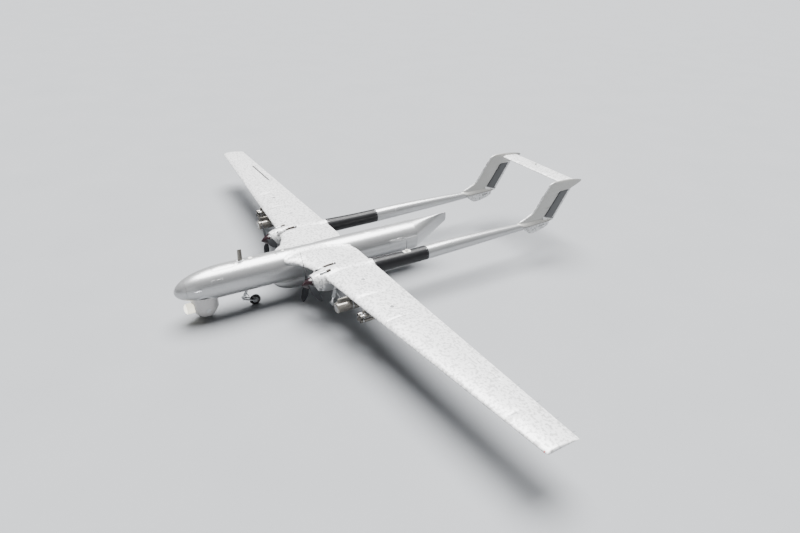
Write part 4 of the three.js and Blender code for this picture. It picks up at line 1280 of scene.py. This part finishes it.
def fin_details(name, side):
    """Rudder hinge arms and rod, and a dark line of painted shade along each side of the boom under the
    fin, where the boom's side turns into shade.
    """
    arms, lines = Shape(), Shape()
    for z in (1.86, 2.60):
        y = hinge_y(z)
        for dx in (-0.046, 0.046):
            x = side * BOOM_X + dx
            arms.join(block((x - 0.003, y - 0.09, z - 0.011), (x + 0.003, y - 0.012, z + 0.011), 0.002))
    horn = side * (BOOM_X + 0.052)
    arms.join(rod((horn, hinge_y(2.1) - 0.34, 2.1), (horn, hinge_y(2.1) - 0.05, 2.1), 0.005))
    piece(f"{name}_rudder_hinges", arms, dark_paint)
    # Dark lines along both sides of the boom: painted shade where its side turns away from the light.
    for flank in (1, -1):
        path = []
        for y in spaced(5.15, 6.74, 30):
            radius, z = table_at(BOOM_TRACK, y)
            path.append(Vector((side * BOOM_X + flank * (radius + 0.001), y, z)))
        lines.join(tube(path, 0.012, 8))
    piece(f"{name}_fin_shade_line", lines, shade_line_paint)


def ventral_fins():
    track = [(1.086, 5.720, 6.040), (1.120, 5.640, 6.180), (1.196, 5.530, 6.475), (1.301, 5.380, 6.675),
             (1.450, 5.180, 6.700)]
    rings = []
    for z in spaced(1.086, 1.49, 24):
        front, back = table_at(track, min(z, 1.45))
        drop = min(1.0, (z - 1.086) / 0.03 + 0.35)
        rings.append([Vector((across * 0.070 * drop / 0.1, mix(front, back, along), z))
                      for along, across in foil(0.1)])
    for name, side in SIDES:
        shift = Matrix.Translation((side * BOOM_X, 0, 0))
        piece(f"{name}_ventral_fin_skin", moved(loft(rings), shift), wing_paint, [f"{name}_ventral_fin"])
        # Dark blocks on both faces stand for the slots: painted shade of their openings.
        slot = Shape()
        for flank in (1, -1):
            for i in range(3):
                y = 6.16 + 0.10 * i
                x = side * BOOM_X + flank * 0.028
                slot.join(block((x - 0.008, y, 1.318 + 0.018 * i),
                                (x + 0.008, y + 0.085, 1.342 + 0.018 * i), 0.004))
        piece(f"{name}_ventral_slot_shades", slot, seal_rubber)


fins()
ventral_fins()

# ---- Tailplane ----
TAIL_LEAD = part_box("stabilizer")[0].y
TAIL_TRAIL, TAIL_Z, TAIL_THICK = 7.965, 3.02, 0.092
ELEVATOR_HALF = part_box("elevator")[1].x
ELEVATOR_HINGE = PIVOT["elevator_hinge"].y


def tail_half(y, sink=0.0):
    c = (y - TAIL_LEAD) / (TAIL_TRAIL - TAIL_LEAD)
    return (TAIL_THICK - 2 * sink) * half_shape(min(1.0, max(0.0, c)))


def tail_outline(x, sink):
    split = ELEVATOR_HINGE - 0.028
    fore = [mix(TAIL_LEAD, split, (i / 20) ** 2) for i in range(21)]
    aft = [mix(split, TAIL_TRAIL, (i + 1) / 8) for i in range(8)]
    front = [Vector((x, y, TAIL_Z + tail_half(y, sink))) for y in fore[::-1]]
    front += [Vector((x, y, TAIL_Z - tail_half(y, sink))) for y in fore[1:]]
    rear = [Vector((x, y, TAIL_Z - tail_half(y, sink))) for y in aft]
    return front, rear + [Vector((x, y, TAIL_Z + tail_half(y, sink))) for y in aft[::-1]]


def tailplane():
    edge, slot = BOOM_X - 0.035, ELEVATOR_HALF + HINGE_SLOT
    places = [(x, 0.0) for x in (-edge, -slot, *spaced(-1.7, 1.7, 12), slot, edge)]
    for x in (-0.9, 0.9):
        places += seam(x)
    stations = [(x, sink, -slot - 1e-6 <= x < slot - 1e-6) for x, sink in sorted(places)]
    piece("stabilizer_skin", hinged_skin(stations, tail_outline, 0.012), wing_paint, ["stabilizer"])
    rings = []
    inside = (-ELEVATOR_HALF + 0.004, *spaced(-1.6, 1.6, 9), ELEVATOR_HALF - 0.004)
    for x, trim in ((-ELEVATOR_HALF, 0.003), *[(x, 0.0) for x in inside], (ELEVATOR_HALF, 0.003)):
        ys = spaced(ELEVATOR_HINGE, TAIL_TRAIL, 12)
        top = [Vector((x, y, TAIL_Z + tail_half(y, trim))) for y in ys]
        half = top[0].z - TAIL_Z
        nose = [Vector((x, ELEVATOR_HINGE - 0.022 * math.sin(a), TAIL_Z + half * math.cos(a)))
                for a in HALF_TURN]
        rings.append(top[::-1] + nose + [Vector((x, y, TAIL_Z - tail_half(y, trim))) for y in ys])
    piece("elevator_skin", loft(rings), wing_paint, ["elevator"], body="elevator_body")

    def at(x, y, lift=0.0):
        return Vector((x, y, TAIL_Z + tail_half(y) + lift))
    base = at(-0.22, 7.64)
    foot = [(-0.01, 0.042), (0.012, 0.042), (0.016, 0.036)]
    lamp = [(0.014, 0.034), (0.06, 0.032), (0.095, 0.022), (0.118, 0.012), (0.122, 0.002)]
    piece("tail_beacon_base", lathe(foot, base, (0, 0, 1)), aluminium)
    piece("tail_beacon_lamp", lathe(lamp, base, (0, 0, 1)), clear_lamp)
    plates, screws = Shape(), Shape()
    for x in (-1.35, 1.35):
        plates.join(patch(at, (x, 7.4), (0.12, 0.08), 0.003))
        screws.join(screw_ring(at, (x, 7.4), (0.12, 0.08), 10, 0.0045, 0.007))
    piece("tailplane_hatches", plates, wing_paint)
    piece("tailplane_hatch_screws", screws, steel)


tailplane()


# ---- Propellers ----
BLADE = [(0.060, 0.044, 0.044, -55), (0.190, 0.044, 0.044, -55), (0.280, 0.085, 0.030, -42),
         (0.420, 0.128, 0.022, -32), (0.620, 0.140, 0.016, -24), (0.850, 0.122, 0.012, -18),
         (1.050, 0.092, 0.009, -15), (1.170, 0.040, 0.006, -13)]
BLADE_ANGLES = {"left": (91, 211, 331), "right": (78, 198, 318)}


def blade_shape():
    """One blade, reaching up +Z from the hub, with a flat face, a crowned back and a round tip."""
    rings = []
    for reach in [*spaced(0.06, 1.10, 44), *spaced(1.115, 1.17, 10, 0.6)]:
        half_chord, half_thick, pitch = table_at(BLADE, reach)
        tip = max(0.0, (reach - 1.10) / 0.07)
        half_chord = max(half_chord, 0.04) * math.sqrt(max(0.004, 1 - tip ** 2.4))
        flat = min(1.0, max(0.0, (reach - 0.19) / 0.15))
        angle = math.radians(pitch)
        ring = []
        for a in turns(32):
            along = half_chord * math.cos(a)
            across = half_thick * math.sin(a)
            thin = mix(1.0, 1 - 0.35 * math.cos(a), flat)
            across *= thin * 0.74 if math.sin(a) > 0 else mix(1.0, 0.55, flat) * 0.74
            across = mix(half_thick * math.sin(a), across, flat)
            ring.append(Vector((along * math.cos(angle) - across * math.sin(angle),
                                along * math.sin(angle) + across * math.cos(angle), reach)))
        rings.append(ring)
    return loft(rings)


def propellers():
    blade = blade_shape()
    for name, _ in SIDES:
        hub = PIVOT[f"{name}_propeller_spin"]
        low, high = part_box(f"{name}_spinner")
        length, radius, body = high.y - low.y, (high.x - low.x) / 2, f"{name}_propeller"
        profile = [(0, radius - 0.012), (0.003, radius - 0.002), (0.03, radius * 0.996)]
        profile += [(length * t, radius * (1 - t ** 1.7)) for t in spaced(0.12, 0.96, 26)]
        profile += [(length * 0.985, 0.010), (length, 0.002)]
        cone = lathe(profile, (hub.x, high.y, hub.z), (0, -1, 0), 72)
        piece(f"{name}_spinner_cone", cone, maroon, [f"{name}_spinner"], body=body)
        plate = lathe([(-0.004, 0.12), (-0.004, radius + 0.001), (0.012, radius + 0.001),
                       (0.016, radius - 0.004)], (hub.x, high.y, hub.z), (0, -1, 0), 72)
        piece(f"{name}_spinner_plate", plate, aluminium, body=body)
        cuffs, bolts = Shape(), Shape()
        for i, degrees in enumerate(BLADE_ANGLES[name]):
            turn = Matrix.Translation(hub) @ Matrix.Rotation(math.radians(degrees), 4, "Y")
            piece(f"{name}_blade_skin_{i + 1}", moved(blade, turn), blade_grey, [f"{name}_blade_{i + 1}"],
                  body=body)
            cuffs.join(moved(lathe([(0.10, 0.050), (0.135, 0.062), (0.19, 0.058), (0.20, 0.047)], (0, 0, 0),
                                   (0, 0, 1), 36), turn))
        for angle in turns(12):
            at = Vector((hub.x + (radius - 0.012) * math.cos(angle), high.y - 0.030, hub.z
                         + (radius - 0.012) * math.sin(angle)))
            out = Vector((math.cos(angle), -0.2, math.sin(angle)))
            bolts.join(lathe([(0, 0.008), (0.0135, 0.008), (0.0145, 0.006), (0.0135, 0.002)], at, out, 10))
        piece(f"{name}_blade_cuffs", cuffs, blade_grey, body=body)
        piece(f"{name}_spinner_screws", bolts, steel, body=body)


propellers()


# ---- Turret ----
WINDOW_BULGE = 0.07


def turret():
    pivot = PIVOT["turret_tilt"]
    ball_low, ball_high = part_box("turret_ball")
    window_low, window_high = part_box("turret_window")
    collar_low, collar_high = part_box("turret_collar")
    radius = (ball_high.z - ball_low.z) / 2
    collar_radius = (collar_high.x - collar_low.x) / 2
    window_radius = (window_high.x - window_low.x) / 2
    profile = [(-radius, 0.002)]
    for degrees in spaced(-87, 87, 88):
        a = math.radians(degrees)
        sink = 0.004 if any(abs(abs(degrees) - seam_at) < 1.4 for seam_at in (34, 62)) else 0.0
        profile.append(((radius - sink) * math.sin(a), (radius - sink) * math.cos(a)))
    profile.append((radius, 0.002))
    piece("turret_ball_skin", lathe(profile, pivot, (1, 0, 0), 96), turret_paint, ["turret_ball"],
          body="turret_head")
    open_half = math.degrees(math.asin((window_radius + 0.02) / collar_radius))
    head = collar_high.z - 0.02
    shell = [[] for _ in range(9)]
    for a in turns(144):
        off = abs((math.degrees(a) + 90 + 180) % 360 - 180)
        edge = min(1.0, max(0.0, (open_half + 3 - off) / 6))
        foot = mix(collar_low.z, pivot.z + window_radius + 0.012, edge * edge * (3 - 2 * edge))
        wall = ((foot + 0.012, radius + 0.019), (foot, radius + 0.022), (foot, collar_radius - 0.004),
                (foot + 0.004, collar_radius), (mix(foot, head, 0.3), collar_radius),
                (mix(foot, head, 0.6), collar_radius), (head, collar_radius), (head, 0.12),
                (head - 0.02, 0.12))
        for ring, (z, r) in zip(shell, wall):
            ring.append(Vector((pivot.x + r * math.cos(a), pivot.y + r * math.sin(a), z)))
    piece("turret_collar_skin", loft(shell, loop=True), turret_paint, ["turret_collar"],
          body="turret_yoke")
    caps = Shape()
    for side in (1, -1):
        cap = [(radius + 0.006, 0.078)]
        cap += [(collar_radius + out, r) for out, r in (
            (0.006, 0.078), (0.012, 0.072), (0.012, 0.050), (0.008, 0.046), (0.008, 0.002))]
        caps.join(lathe(cap, pivot, (side, 0, 0), 48))
    piece("turret_trunnion_caps", caps, gear_paint, body="turret_yoke")
    reach = window_high.y - window_low.y
    rim_at, rim = reach - WINDOW_BULGE, window_radius - 0.016
    start = (pivot.x, window_high.y, pivot.z)
    barrel = [(0, window_radius), (rim_at - 0.004, window_radius), (rim_at, window_radius - 0.003),
              (rim_at, rim + 0.004), (rim_at - 0.008, rim), (rim_at - 0.008, 0.002)]
    # The barrel and the pane take glowing glass: painted light for their highlight.
    piece("turret_window_barrel", lathe(barrel, start, (0, -1, 0), 64), painted_glow_barrel, ["turret_window"],
          body="turret_head")
    pane = [(rim_at - 0.012, rim)]
    pane += [(rim_at - 0.004 + (WINDOW_BULGE + 0.004) * math.sqrt(1 - (r / rim) ** 2), r)
             for r in spaced(rim, 0.002, 16, 0.6)]
    piece("turret_window_pane", lathe(pane, start, (0, -1, 0), 64), painted_glow_window, body="turret_head")
    ring_screws = Shape()
    for a in turns(12):
        out = Vector((math.cos(a), 0, math.sin(a)))
        at = Vector((pivot.x, window_high.y - rim_at + 0.02, pivot.z)) + out * (window_radius - 0.001)
        ring_screws.join(lathe([(0, 0.0045), (0.003, 0.0045), (0.0035, 0.003), (0.002, 0.001)], at,
                               out, 10))
    piece("turret_window_screws", ring_screws, steel, body="turret_head")
    lens_at(pivot, radius, Vector((0.62, -0.74, 0.05)), 0.062, "ranger")
    lens_at(pivot, radius, Vector((-0.62, -0.74, 0.05)), 0.048, "spotter")
    lens_at(pivot, radius, Vector((0.52, -0.66, -0.52)), 0.030, "pointer")


def lens_at(pivot, radius, direction, size, name):
    """A small dark lens in a ring, square to the ball."""
    out = direction.normalized()
    at = pivot + out * (radius - 0.012)
    piece(f"turret_{name}_ring", lathe([(0, size + 0.012), (0.010, size + 0.012), (0.014, size + 0.008),
                                        (0.014, size), (0.004, size - 0.002)], at, out, 48), gear_paint,
          body="turret_head")
    piece(f"turret_{name}_lens", lathe([(0.0, size - 0.001), (0.006, size - 0.001), (0.009, size * 0.6),
                                        (0.010, 0.002)], at, out, 48), lens_dark, body="turret_head")


turret()


# ---- Landing gear ----
NOSE = {"x": 0.0, "top": (-5.765, 0.715), "knee": (-5.945, 0.370), "axle": -5.515, "radius": 0.200,
        "width": 0.110, "rim": 0.108, "tube": 0.045}
MAIN = {"x": BOOM_X, "top": (-3.190, 1.240), "knee": (-3.360, 0.430), "axle": -2.720, "radius": 0.250,
        "width": 0.150, "rim": 0.140, "tube": 0.058}


def gear_leg(name, gear, side, body, node):
    """Leg tube, chrome slider, knee, trailing fork with a damper, axle ends, brake line and clips."""
    x, tube_radius = side * gear["x"], gear["tube"]
    top, knee = Vector((x, *gear["top"])), Vector((x, *gear["knee"]))
    axle = Vector((x, gear["axle"], gear["radius"]))
    reach = gear["width"] / 2 + 0.62 * tube_radius + 0.008
    length, across = (knee - top).length, Vector((reach, 0, 0))
    leg = lathe([(0, tube_radius * 0.8), (0.01, tube_radius * 0.98), (length * 0.62, tube_radius * 0.98),
                 (length * 0.64, tube_radius * 1.12), (length * 0.70, tube_radius * 1.12),
                 (length * 0.72, tube_radius * 0.8), (length, tube_radius * 0.8)], top, knee - top, 36)
    leg.join(rod(knee - across, knee + across, tube_radius, None, 36))
    for dx in (-reach, reach):
        start, end = knee + Vector((dx, 0, 0)), axle + Vector((dx, 0, 0))
        leg.join(rod(start, end, 0.62 * tube_radius, 0.5 * tube_radius, 24))
        out = Vector((math.copysign(1, dx), 0, 0))
        leg.join(lathe([(-0.020, tube_radius * 0.72), (0.012, tube_radius * 0.72),
                        (0.017, tube_radius * 0.6), (0.017, 0.002)], end, out, 36))
        leg.join(lathe([(-0.02, tube_radius * 0.55), (0.016, tube_radius * 0.55),
                        (0.020, tube_radius * 0.4), (0.020, 0.002)], start, out, 24))
    piece(f"{name}_leg_frame", leg, gear_paint, [node], body=body, slot="gear_grey")
    axis = (knee - top).normalized()
    slider = lathe([(0.60, tube_radius * 0.86), (0.97, tube_radius * 0.86)], (0, 0, 0), (0, 0, 1), 32)
    slider = moved(slider, Matrix.Translation(top) @ axis.to_track_quat("Z", "Y").to_matrix().to_4x4()
                   @ Matrix.Diagonal((1, 1, length, 1)))
    slider.join(rod(axle - Vector((reach + 0.012, 0, 0)), axle + Vector((reach + 0.012, 0, 0)),
                    0.30 * tube_radius, None, 24))
    piece(f"{name}_leg_slider", slider, chrome, body=body)
    damper, damper_rod = Shape(), Shape()
    foot = knee.lerp(axle, 0.62)
    upper = top.lerp(knee, 0.45) + Vector((0, tube_radius * 0.9, 0))
    damper.join(rod(upper, upper.lerp(foot, 0.55), tube_radius * 0.36, None, 24))
    damper.join(lathe([(-0.012, tube_radius * 0.45), (0.012, tube_radius * 0.45)], upper, (1, 0, 0), 24))
    damper_rod.join(rod(upper.lerp(foot, 0.5), foot, tube_radius * 0.2, None, 20))
    damper.join(rod(foot - across, foot + across, tube_radius * 0.22, None, 20))
    piece(f"{name}_leg_damper", damper, aluminium, body=body, slot="gear_grey")
    piece(f"{name}_leg_damper_rod", damper_rod, chrome, body=body)
    clips = Shape()
    offset = Vector((0, tube_radius * 1.15, 0))
    path = [top.lerp(knee, 0.12) + offset,
            top.lerp(knee, 0.5) + offset * 1.02 + Vector((0.018, 0, 0)),
            top.lerp(knee, 0.82) + offset * 1.1 + Vector((0.03, 0.012, 0)),
            knee + Vector((reach * 0.85, tube_radius * 1.25, 0.02)),
            knee.lerp(axle, 0.5) + Vector((reach + 0.004, 0, tube_radius * 0.68)),
            axle + Vector((reach + 0.002, -0.03, tube_radius * 0.72))]
    for part in (0.2, 0.5):
        clips.join(lathe(band(0, 0.008, 0.008, tube_radius * 0.99, tube_radius * 1.10),
                         top.lerp(knee, part), axis, 32, loop=True))
    piece(f"{name}_brake_line", tube(curve_through(path, 8), 0.006, 10), seal_rubber, body=body)
    piece(f"{name}_leg_clips", clips, steel, body=body)


def wheel(name, gear, side, body):
    """Tyre with grooves, dished rim and bolts; the rim's holes are dark rubber cups, painted shade for the
    openings.
    """
    outer, rim, half = gear["radius"], gear["rim"], gear["width"] / 2
    centre = Vector((side * gear["x"], gear["axle"], gear["radius"]))
    outline = [(-half * 0.70, rim * 0.985), (-half * 0.80, rim + 0.006)]
    shoulder = mix(rim, outer, 0.42)
    for degrees in spaced(-78, -28, 10):
        a = math.radians(degrees)
        outline.append((half * math.sin(a), shoulder + (outer - shoulder) * math.cos(a) ** 0.55))
    grooves = []
    for place in (-0.32, 0.0, 0.32):
        x = place * half
        grooves += band(x, 0.0055, 0.004, outer, outer - 0.007)
    outline += grooves + [(-a, r) for a, r in outline[::-1]]
    tyre = lathe([(a, min(r, outer)) for a, r in outline], centre, (1, 0, 0), 96, loop=True)
    piece(f"{name}_tyre_skin", tyre, tyre_rubber, [f"{name}_tyre"], body=body)
    disc = half * 0.36
    dish = [(-half * 0.72, rim * 0.99), (-half * 0.72, rim * 0.90), (-half * 0.40, rim * 0.84),
            (-disc, rim * 0.80), (-disc * 1.05, rim * 0.42), (-half * 0.62, rim * 0.36),
            (-half * 0.68, rim * 0.30), (-half * 0.68, gear["tube"] * 0.42 + 0.002)]
    dish += [(-a, r) for a, r in dish[::-1]]
    piece(f"{name}_rim_skin", lathe(dish, centre, (1, 0, 0), 72, loop=True), aluminium, [f"{name}_rim"],
          body=body)
    holes, bolts = Shape(), Shape()
    for face in (-1, 1):
        for angle in turns(8):
            out = Vector((0, math.cos(angle), math.sin(angle)))
            # A dark rubber cup for each hole: painted shade where the opening would be.
            at = centre + Vector((face * (disc + 0.001), 0, 0)) + out * rim * 0.61
            holes.join(lathe([(-0.004, rim * 0.13), (0.0015, rim * 0.13), (0.0015, rim * 0.11),
                              (-0.002, rim * 0.10), (-0.002, 0.001)], at, (face, 0, 0), 20))
            at = centre + Vector((face * half * 0.66, 0, 0)) + out * rim * 0.335
            bolts.join(lathe([(-0.01, rim * 0.035), (0.006, rim * 0.035), (0.007, rim * 0.025)], at,
                             (face, 0, 0), 6))
    piece(f"{name}_rim_hole_shades", holes, seal_rubber, body=body)
    piece(f"{name}_rim_bolts", bolts, steel, body=body)


def main_and_nose_gear():
    """The nose leg with its shroud and turning spindle, the main legs with their boots, and wheels."""
    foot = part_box("nose_leg_housing")[0].z
    pivot = PIVOT["nose_steer"]
    shroud = lathe([(-0.022, 0.090), (-0.012, 0.094), (0.0, 0.092), (0.014, 0.074), (0.14, 0.070),
                    (0.17, 0.06)], (0, pivot.y, foot + 0.004), (0, 0, 1), 48)
    piece("nose_leg_shroud", shroud, gear_paint, ["nose_leg_housing"], slot="gear_grey")
    spindle = lathe([(-0.06, 0.030), (-0.05, 0.047), (0.0, 0.047), (0.03, 0.043), (0.10, 0.043)],
                    (0, pivot.y, 0.715), (0, 0, 1), 36)
    piece("nose_leg_spindle", spindle, chrome, body="nose_steering")
    gear_leg("nose", NOSE, 1, "nose_steering", "nose_fork")
    wheel("nose", NOSE, 1, "nose_wheel")
    for name, side in SIDES:
        gear_leg(f"{name}_main", MAIN, side, "airframe", f"{name}_main_leg")
        wheel(f"{name}_main", MAIN, side, f"{name}_wheel")
        boot = []
        for scale, drop in ((1.75, 0.05), (1.7, -0.008), (1.35, -0.018), (1.1, -0.05), (1.0, -0.07),
                            (0.98, 0.0)):
            radius = MAIN["tube"] * scale
            ring = []
            for a in turns(48):
                dx, dy = radius * math.cos(a), radius * math.sin(a)
                body_radius, z = table_at(BOOM_TRACK, -3.245 + dy)
                keel = z - math.sqrt(body_radius ** 2 - dx ** 2)
                ring.append(Vector((side * BOOM_X + dx, -3.235 + dy * 1.1, keel + drop)))
            boot.append(ring)
        piece(f"{name}_leg_boot", loft(boot), seal_rubber)


main_and_nose_gear()


# ---- Pods and pylons ----
INNER_PYLON_LOW, INNER_PYLON_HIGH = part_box("left_inner_pylon")
OUTER_PYLON_LOW, OUTER_PYLON_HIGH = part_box("left_outer_pylon")
INNER_LOW, INNER_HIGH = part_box("left_inner_pod")
OUTER_LOW, OUTER_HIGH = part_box("left_outer_pod")


def pylon(name, low, high, foot, side):
    """A streamlined strut between a pod and the wing."""
    x = (low.x + high.x) / 2
    length = high.y - low.y
    rings = []
    for t in spaced(0, 1, 14):
        ring = []
        for along, across in foil(0.072 / length):
            y = low.y + 0.01 + along * (length - 0.02)
            top = wing_skin(x, max(y, wing_plan(x)[0] + 0.01), -1) + 0.012
            ring.append(Vector((x + across * length, y, mix(foot, top, t))))
        rings.append(ring)
    piece(f"{name}_pylon_skin", turned(loft(rings), side), pod_paint, [f"{name}_pylon"])


def inner_pod(name, side):
    """A round pod with a window in its nose, steel bands, four tail fins and its pylon."""
    x, z = (INNER_LOW.x + INNER_HIGH.x) / 2, (INNER_LOW.z + INNER_HIGH.z) / 2
    radius, length = (INNER_HIGH.z - INNER_LOW.z) / 2, INNER_HIGH.y - INNER_LOW.y
    profile = [(0.004, 0.002), (0.004, radius * 0.60), (0, radius * 0.62), (0, radius * 0.86),
               (0.006, radius * 0.93), (0.022, radius * 0.985), (0.045, radius)]
    for y in (0.30, length - 0.50):
        profile += band(y, 0.008, 0.005, radius, radius - 0.004)
    profile += [(length - 0.42 * (1 - t), radius * (1 - 0.70 * t ** 2.0)) for t in spaced(0.0, 1.0, 20)]
    profile += [(length, radius * 0.26)]
    start = (side * x, INNER_LOW.y, z)
    piece(f"{name}_inner_pod_skin", lathe(profile, start, (0, 1, 0), 64), pod_paint,
          [f"{name}_inner_pod"])
    face = lathe([(0.006, 0.105), (0.0005, 0.104), (0.0005, 0.08), (0.003, 0.07), (0.004, 0.002)],
                 start, (0, 1, 0), 48)
    piece(f"{name}_inner_pod_window", face, lens_dark)
    bands, screws = Shape(), Shape()
    for y in (0.55, 0.86):
        bands.join(lathe(band(y, 0.022, 0.020, radius - 0.001, radius + 0.004), start, (0, 1, 0), 64,
                         loop=True))
    for y in (0.015, 0.26, length - 0.46):
        for angle in turns(10):
            reach = radius * (0.94 if y < 0.1 else 1.0)
            out = Vector((math.cos(angle), 0, math.sin(angle)))
            at = Vector(start) + Vector((0, y, 0)) + out * (reach + 0.002)
            screws.join(lathe([(-0.006, 0.007), (0, 0.007), (0.001, 0.005), (0, 0.002)], at, out, 10))
    fins = Shape()
    for angle in (0.25, 0.75, 1.25, 1.75):
        out = Vector((math.cos(angle * math.pi), 0, math.sin(angle * math.pi)))
        rows = []
        for reach, lead, trail in ((0.06, 0.42, 0.03), (0.11, 0.34, 0.03), (0.165, 0.20, 0.03)):
            rows.append([Vector(start) + Vector((0, length - mix(lead, trail, along), 0)) + out * reach
                         + across_of(out) * across * 0.3 for along, across in foil(0.05)])
        fins.join(loft(rows))
    piece(f"{name}_inner_pod_bands", bands, steel)
    piece(f"{name}_inner_pod_screws", screws, steel)
    piece(f"{name}_inner_pod_fins", fins, pod_paint)
    pylon(f"{name}_inner", INNER_PYLON_LOW, INNER_PYLON_HIGH, z + radius - 0.02, side)


def outer_pod(name, side):
    """Four open tubes strapped round a rail, and the pylon."""
    x, z = side * (OUTER_LOW.x + OUTER_HIGH.x) / 2, (OUTER_LOW.z + OUTER_HIGH.z) / 2
    radius, spread, length = 0.062, 0.078, OUTER_HIGH.y - OUTER_LOW.y
    tubes, caps, straps = Shape(), Shape(), Shape()
    for dx in (-spread, spread):
        for dz in (-spread, spread):
            start = (x + dx, OUTER_LOW.y, z + dz)
            tubes.join(lathe([(0.07, radius - 0.014), (0.0, radius - 0.010), (0.0, radius - 0.003),
                              (0.004, radius), (length - 0.004, radius), (length, radius - 0.003),
                              (length, radius - 0.010), (length - 0.07, radius - 0.014)], start,
                             (0, 1, 0), 40))
            caps.join(lathe([(0.03, 0.049), (0.022, 0.047), (0.012, 0.036), (0.006, 0.018),
                             (0.005, 0.002)], start, (0, 1, 0), 40))
            for y in (0.10, length / 2, length - 0.10):
                straps.join(lathe(band(y, 0.015, 0.014, radius - 0.001, radius + 0.0035), start,
                                  (0, 1, 0), 40, loop=True))
    rail = block((x - spread, OUTER_LOW.y + 0.12, z - spread),
                 (x + spread, OUTER_HIGH.y - 0.12, z + spread), 0.02)
    rail.join(block((x - 0.05, OUTER_LOW.y + 0.16, z + spread),
                    (x + 0.05, OUTER_HIGH.y - 0.16, z + 0.150), 0.01))
    piece(f"{name}_outer_pod_tubes", tubes, pod_paint, [f"{name}_outer_pod"])
    piece(f"{name}_outer_pod_rail", rail, gear_paint, slot="pod_beige")
    piece(f"{name}_outer_pod_covers", caps, seal_rubber)
    piece(f"{name}_outer_pod_straps", straps, steel)
    pylon(f"{name}_outer", OUTER_PYLON_LOW, OUTER_PYLON_HIGH, z + 0.13, side)


for side_name, side_sign in SIDES:
    inner_pod(side_name, side_sign)
    outer_pod(side_name, side_sign)

# ---- Inner pieces that keep their CAD shape ----
for node_name, finish in (("left_engine", cast_metal), ("right_engine", cast_metal),
                          ("avionics_tray", tray_metal), ("fuel_tank", tank_skin)):
    mesh = frame["nodes"][node_name].data
    mesh.materials.clear()
    mesh.materials.append(finish)


# ---- Camera, floor and light ----
CAMERA_PLACE = Vector((19.099, -11.270, 12.168))
CAMERA_TARGET = Vector((0.0, 0.610, -0.058))
CAMERA_LEAN = math.radians(1.5)
CAMERA_LENS = 28.175
CAMERA_SENSOR = 36.0
CAMERA_REACH = 500.0

FLOOR_TONE = (0.27, 0.278, 0.29)
FLOOR_RADIUS = 160.0
FLOOR_SIDES = 96

SKY_TONE = (0.80, 0.84, 0.90)
SKY_STRENGTH = 0.13
OVERHEAD_WAY, OVERHEAD_SPREAD, OVERHEAD_STRENGTH = (8, -6, -34), math.radians(50), 15.0
FILL_PLACE, FILL_TARGET, FILL_SIZE, FILL_POWER = (18, -22, 9), (0, -2, 1), (16, 10), 350


def camera():
    data = bpy.data.cameras.new("camera")
    data.lens = CAMERA_LENS
    data.sensor_width = CAMERA_SENSOR
    data.clip_end = CAMERA_REACH
    thing = placed("camera", data)
    back = (CAMERA_PLACE - CAMERA_TARGET).normalized()
    right = Vector((0, -math.sin(CAMERA_LEAN), math.cos(CAMERA_LEAN))).cross(back).normalized()
    axes = Matrix((right, back.cross(right), back)).transposed()
    thing.matrix_world = Matrix.Translation(CAMERA_PLACE) @ axes.to_4x4()
    bpy.context.scene.camera = thing


def floor():
    mesh = bpy.data.meshes.new("floor")
    ring = circle((0, 0, 0), (0, 0, 1), FLOOR_RADIUS, FLOOR_SIDES)
    mesh.from_pydata([tuple(p) for p in ring], [], [tuple(range(FLOOR_SIDES))])
    material, tree, main, place = shader("pale_floor", FLOOR_TONE, 0.8)
    cloud = ramp(tree, noise(tree, place, 0.3, 3.0), 0.3, 0.7)
    feed(tree, main.inputs["Base Color"], blended(tree, cloud, FLOOR_TONE, shaded(FLOOR_TONE, 0.96)))
    mesh.materials.append(material)
    thing = placed("floor", mesh)


def soft_light(name, place, target, size, power):
    data = bpy.data.lights.new(name, "AREA")
    data.shape = "RECTANGLE"
    data.size, data.size_y = size
    data.energy = power
    thing = placed(name, data)
    thing.rotation_mode = "QUATERNION"
    thing.location = place
    thing.rotation_quaternion = (Vector(target) - Vector(place)).to_track_quat("-Z", "Y")


def broad_light(name, direction, angle, strength):
    """Even light from a wide patch of sky, so that the floor stays pale all the way back."""
    data = bpy.data.lights.new(name, "SUN")
    data.angle = angle
    data.energy = strength
    thing = placed(name, data)
    thing.rotation_mode = "QUATERNION"
    thing.rotation_quaternion = Vector(direction).to_track_quat("-Z", "Y")


def lighting():
    world = bpy.data.worlds.new("studio")
    world.use_nodes = True
    sky = world.node_tree.nodes["Background"].inputs
    sky["Color"].default_value = (*SKY_TONE, 1)
    sky["Strength"].default_value = SKY_STRENGTH
    bpy.context.scene.world = world
    broad_light("overhead_softbox", OVERHEAD_WAY, OVERHEAD_SPREAD, OVERHEAD_STRENGTH)
    soft_light("front_fill", FILL_PLACE, FILL_TARGET, FILL_SIZE, FILL_POWER)


camera()
floor()
lighting()
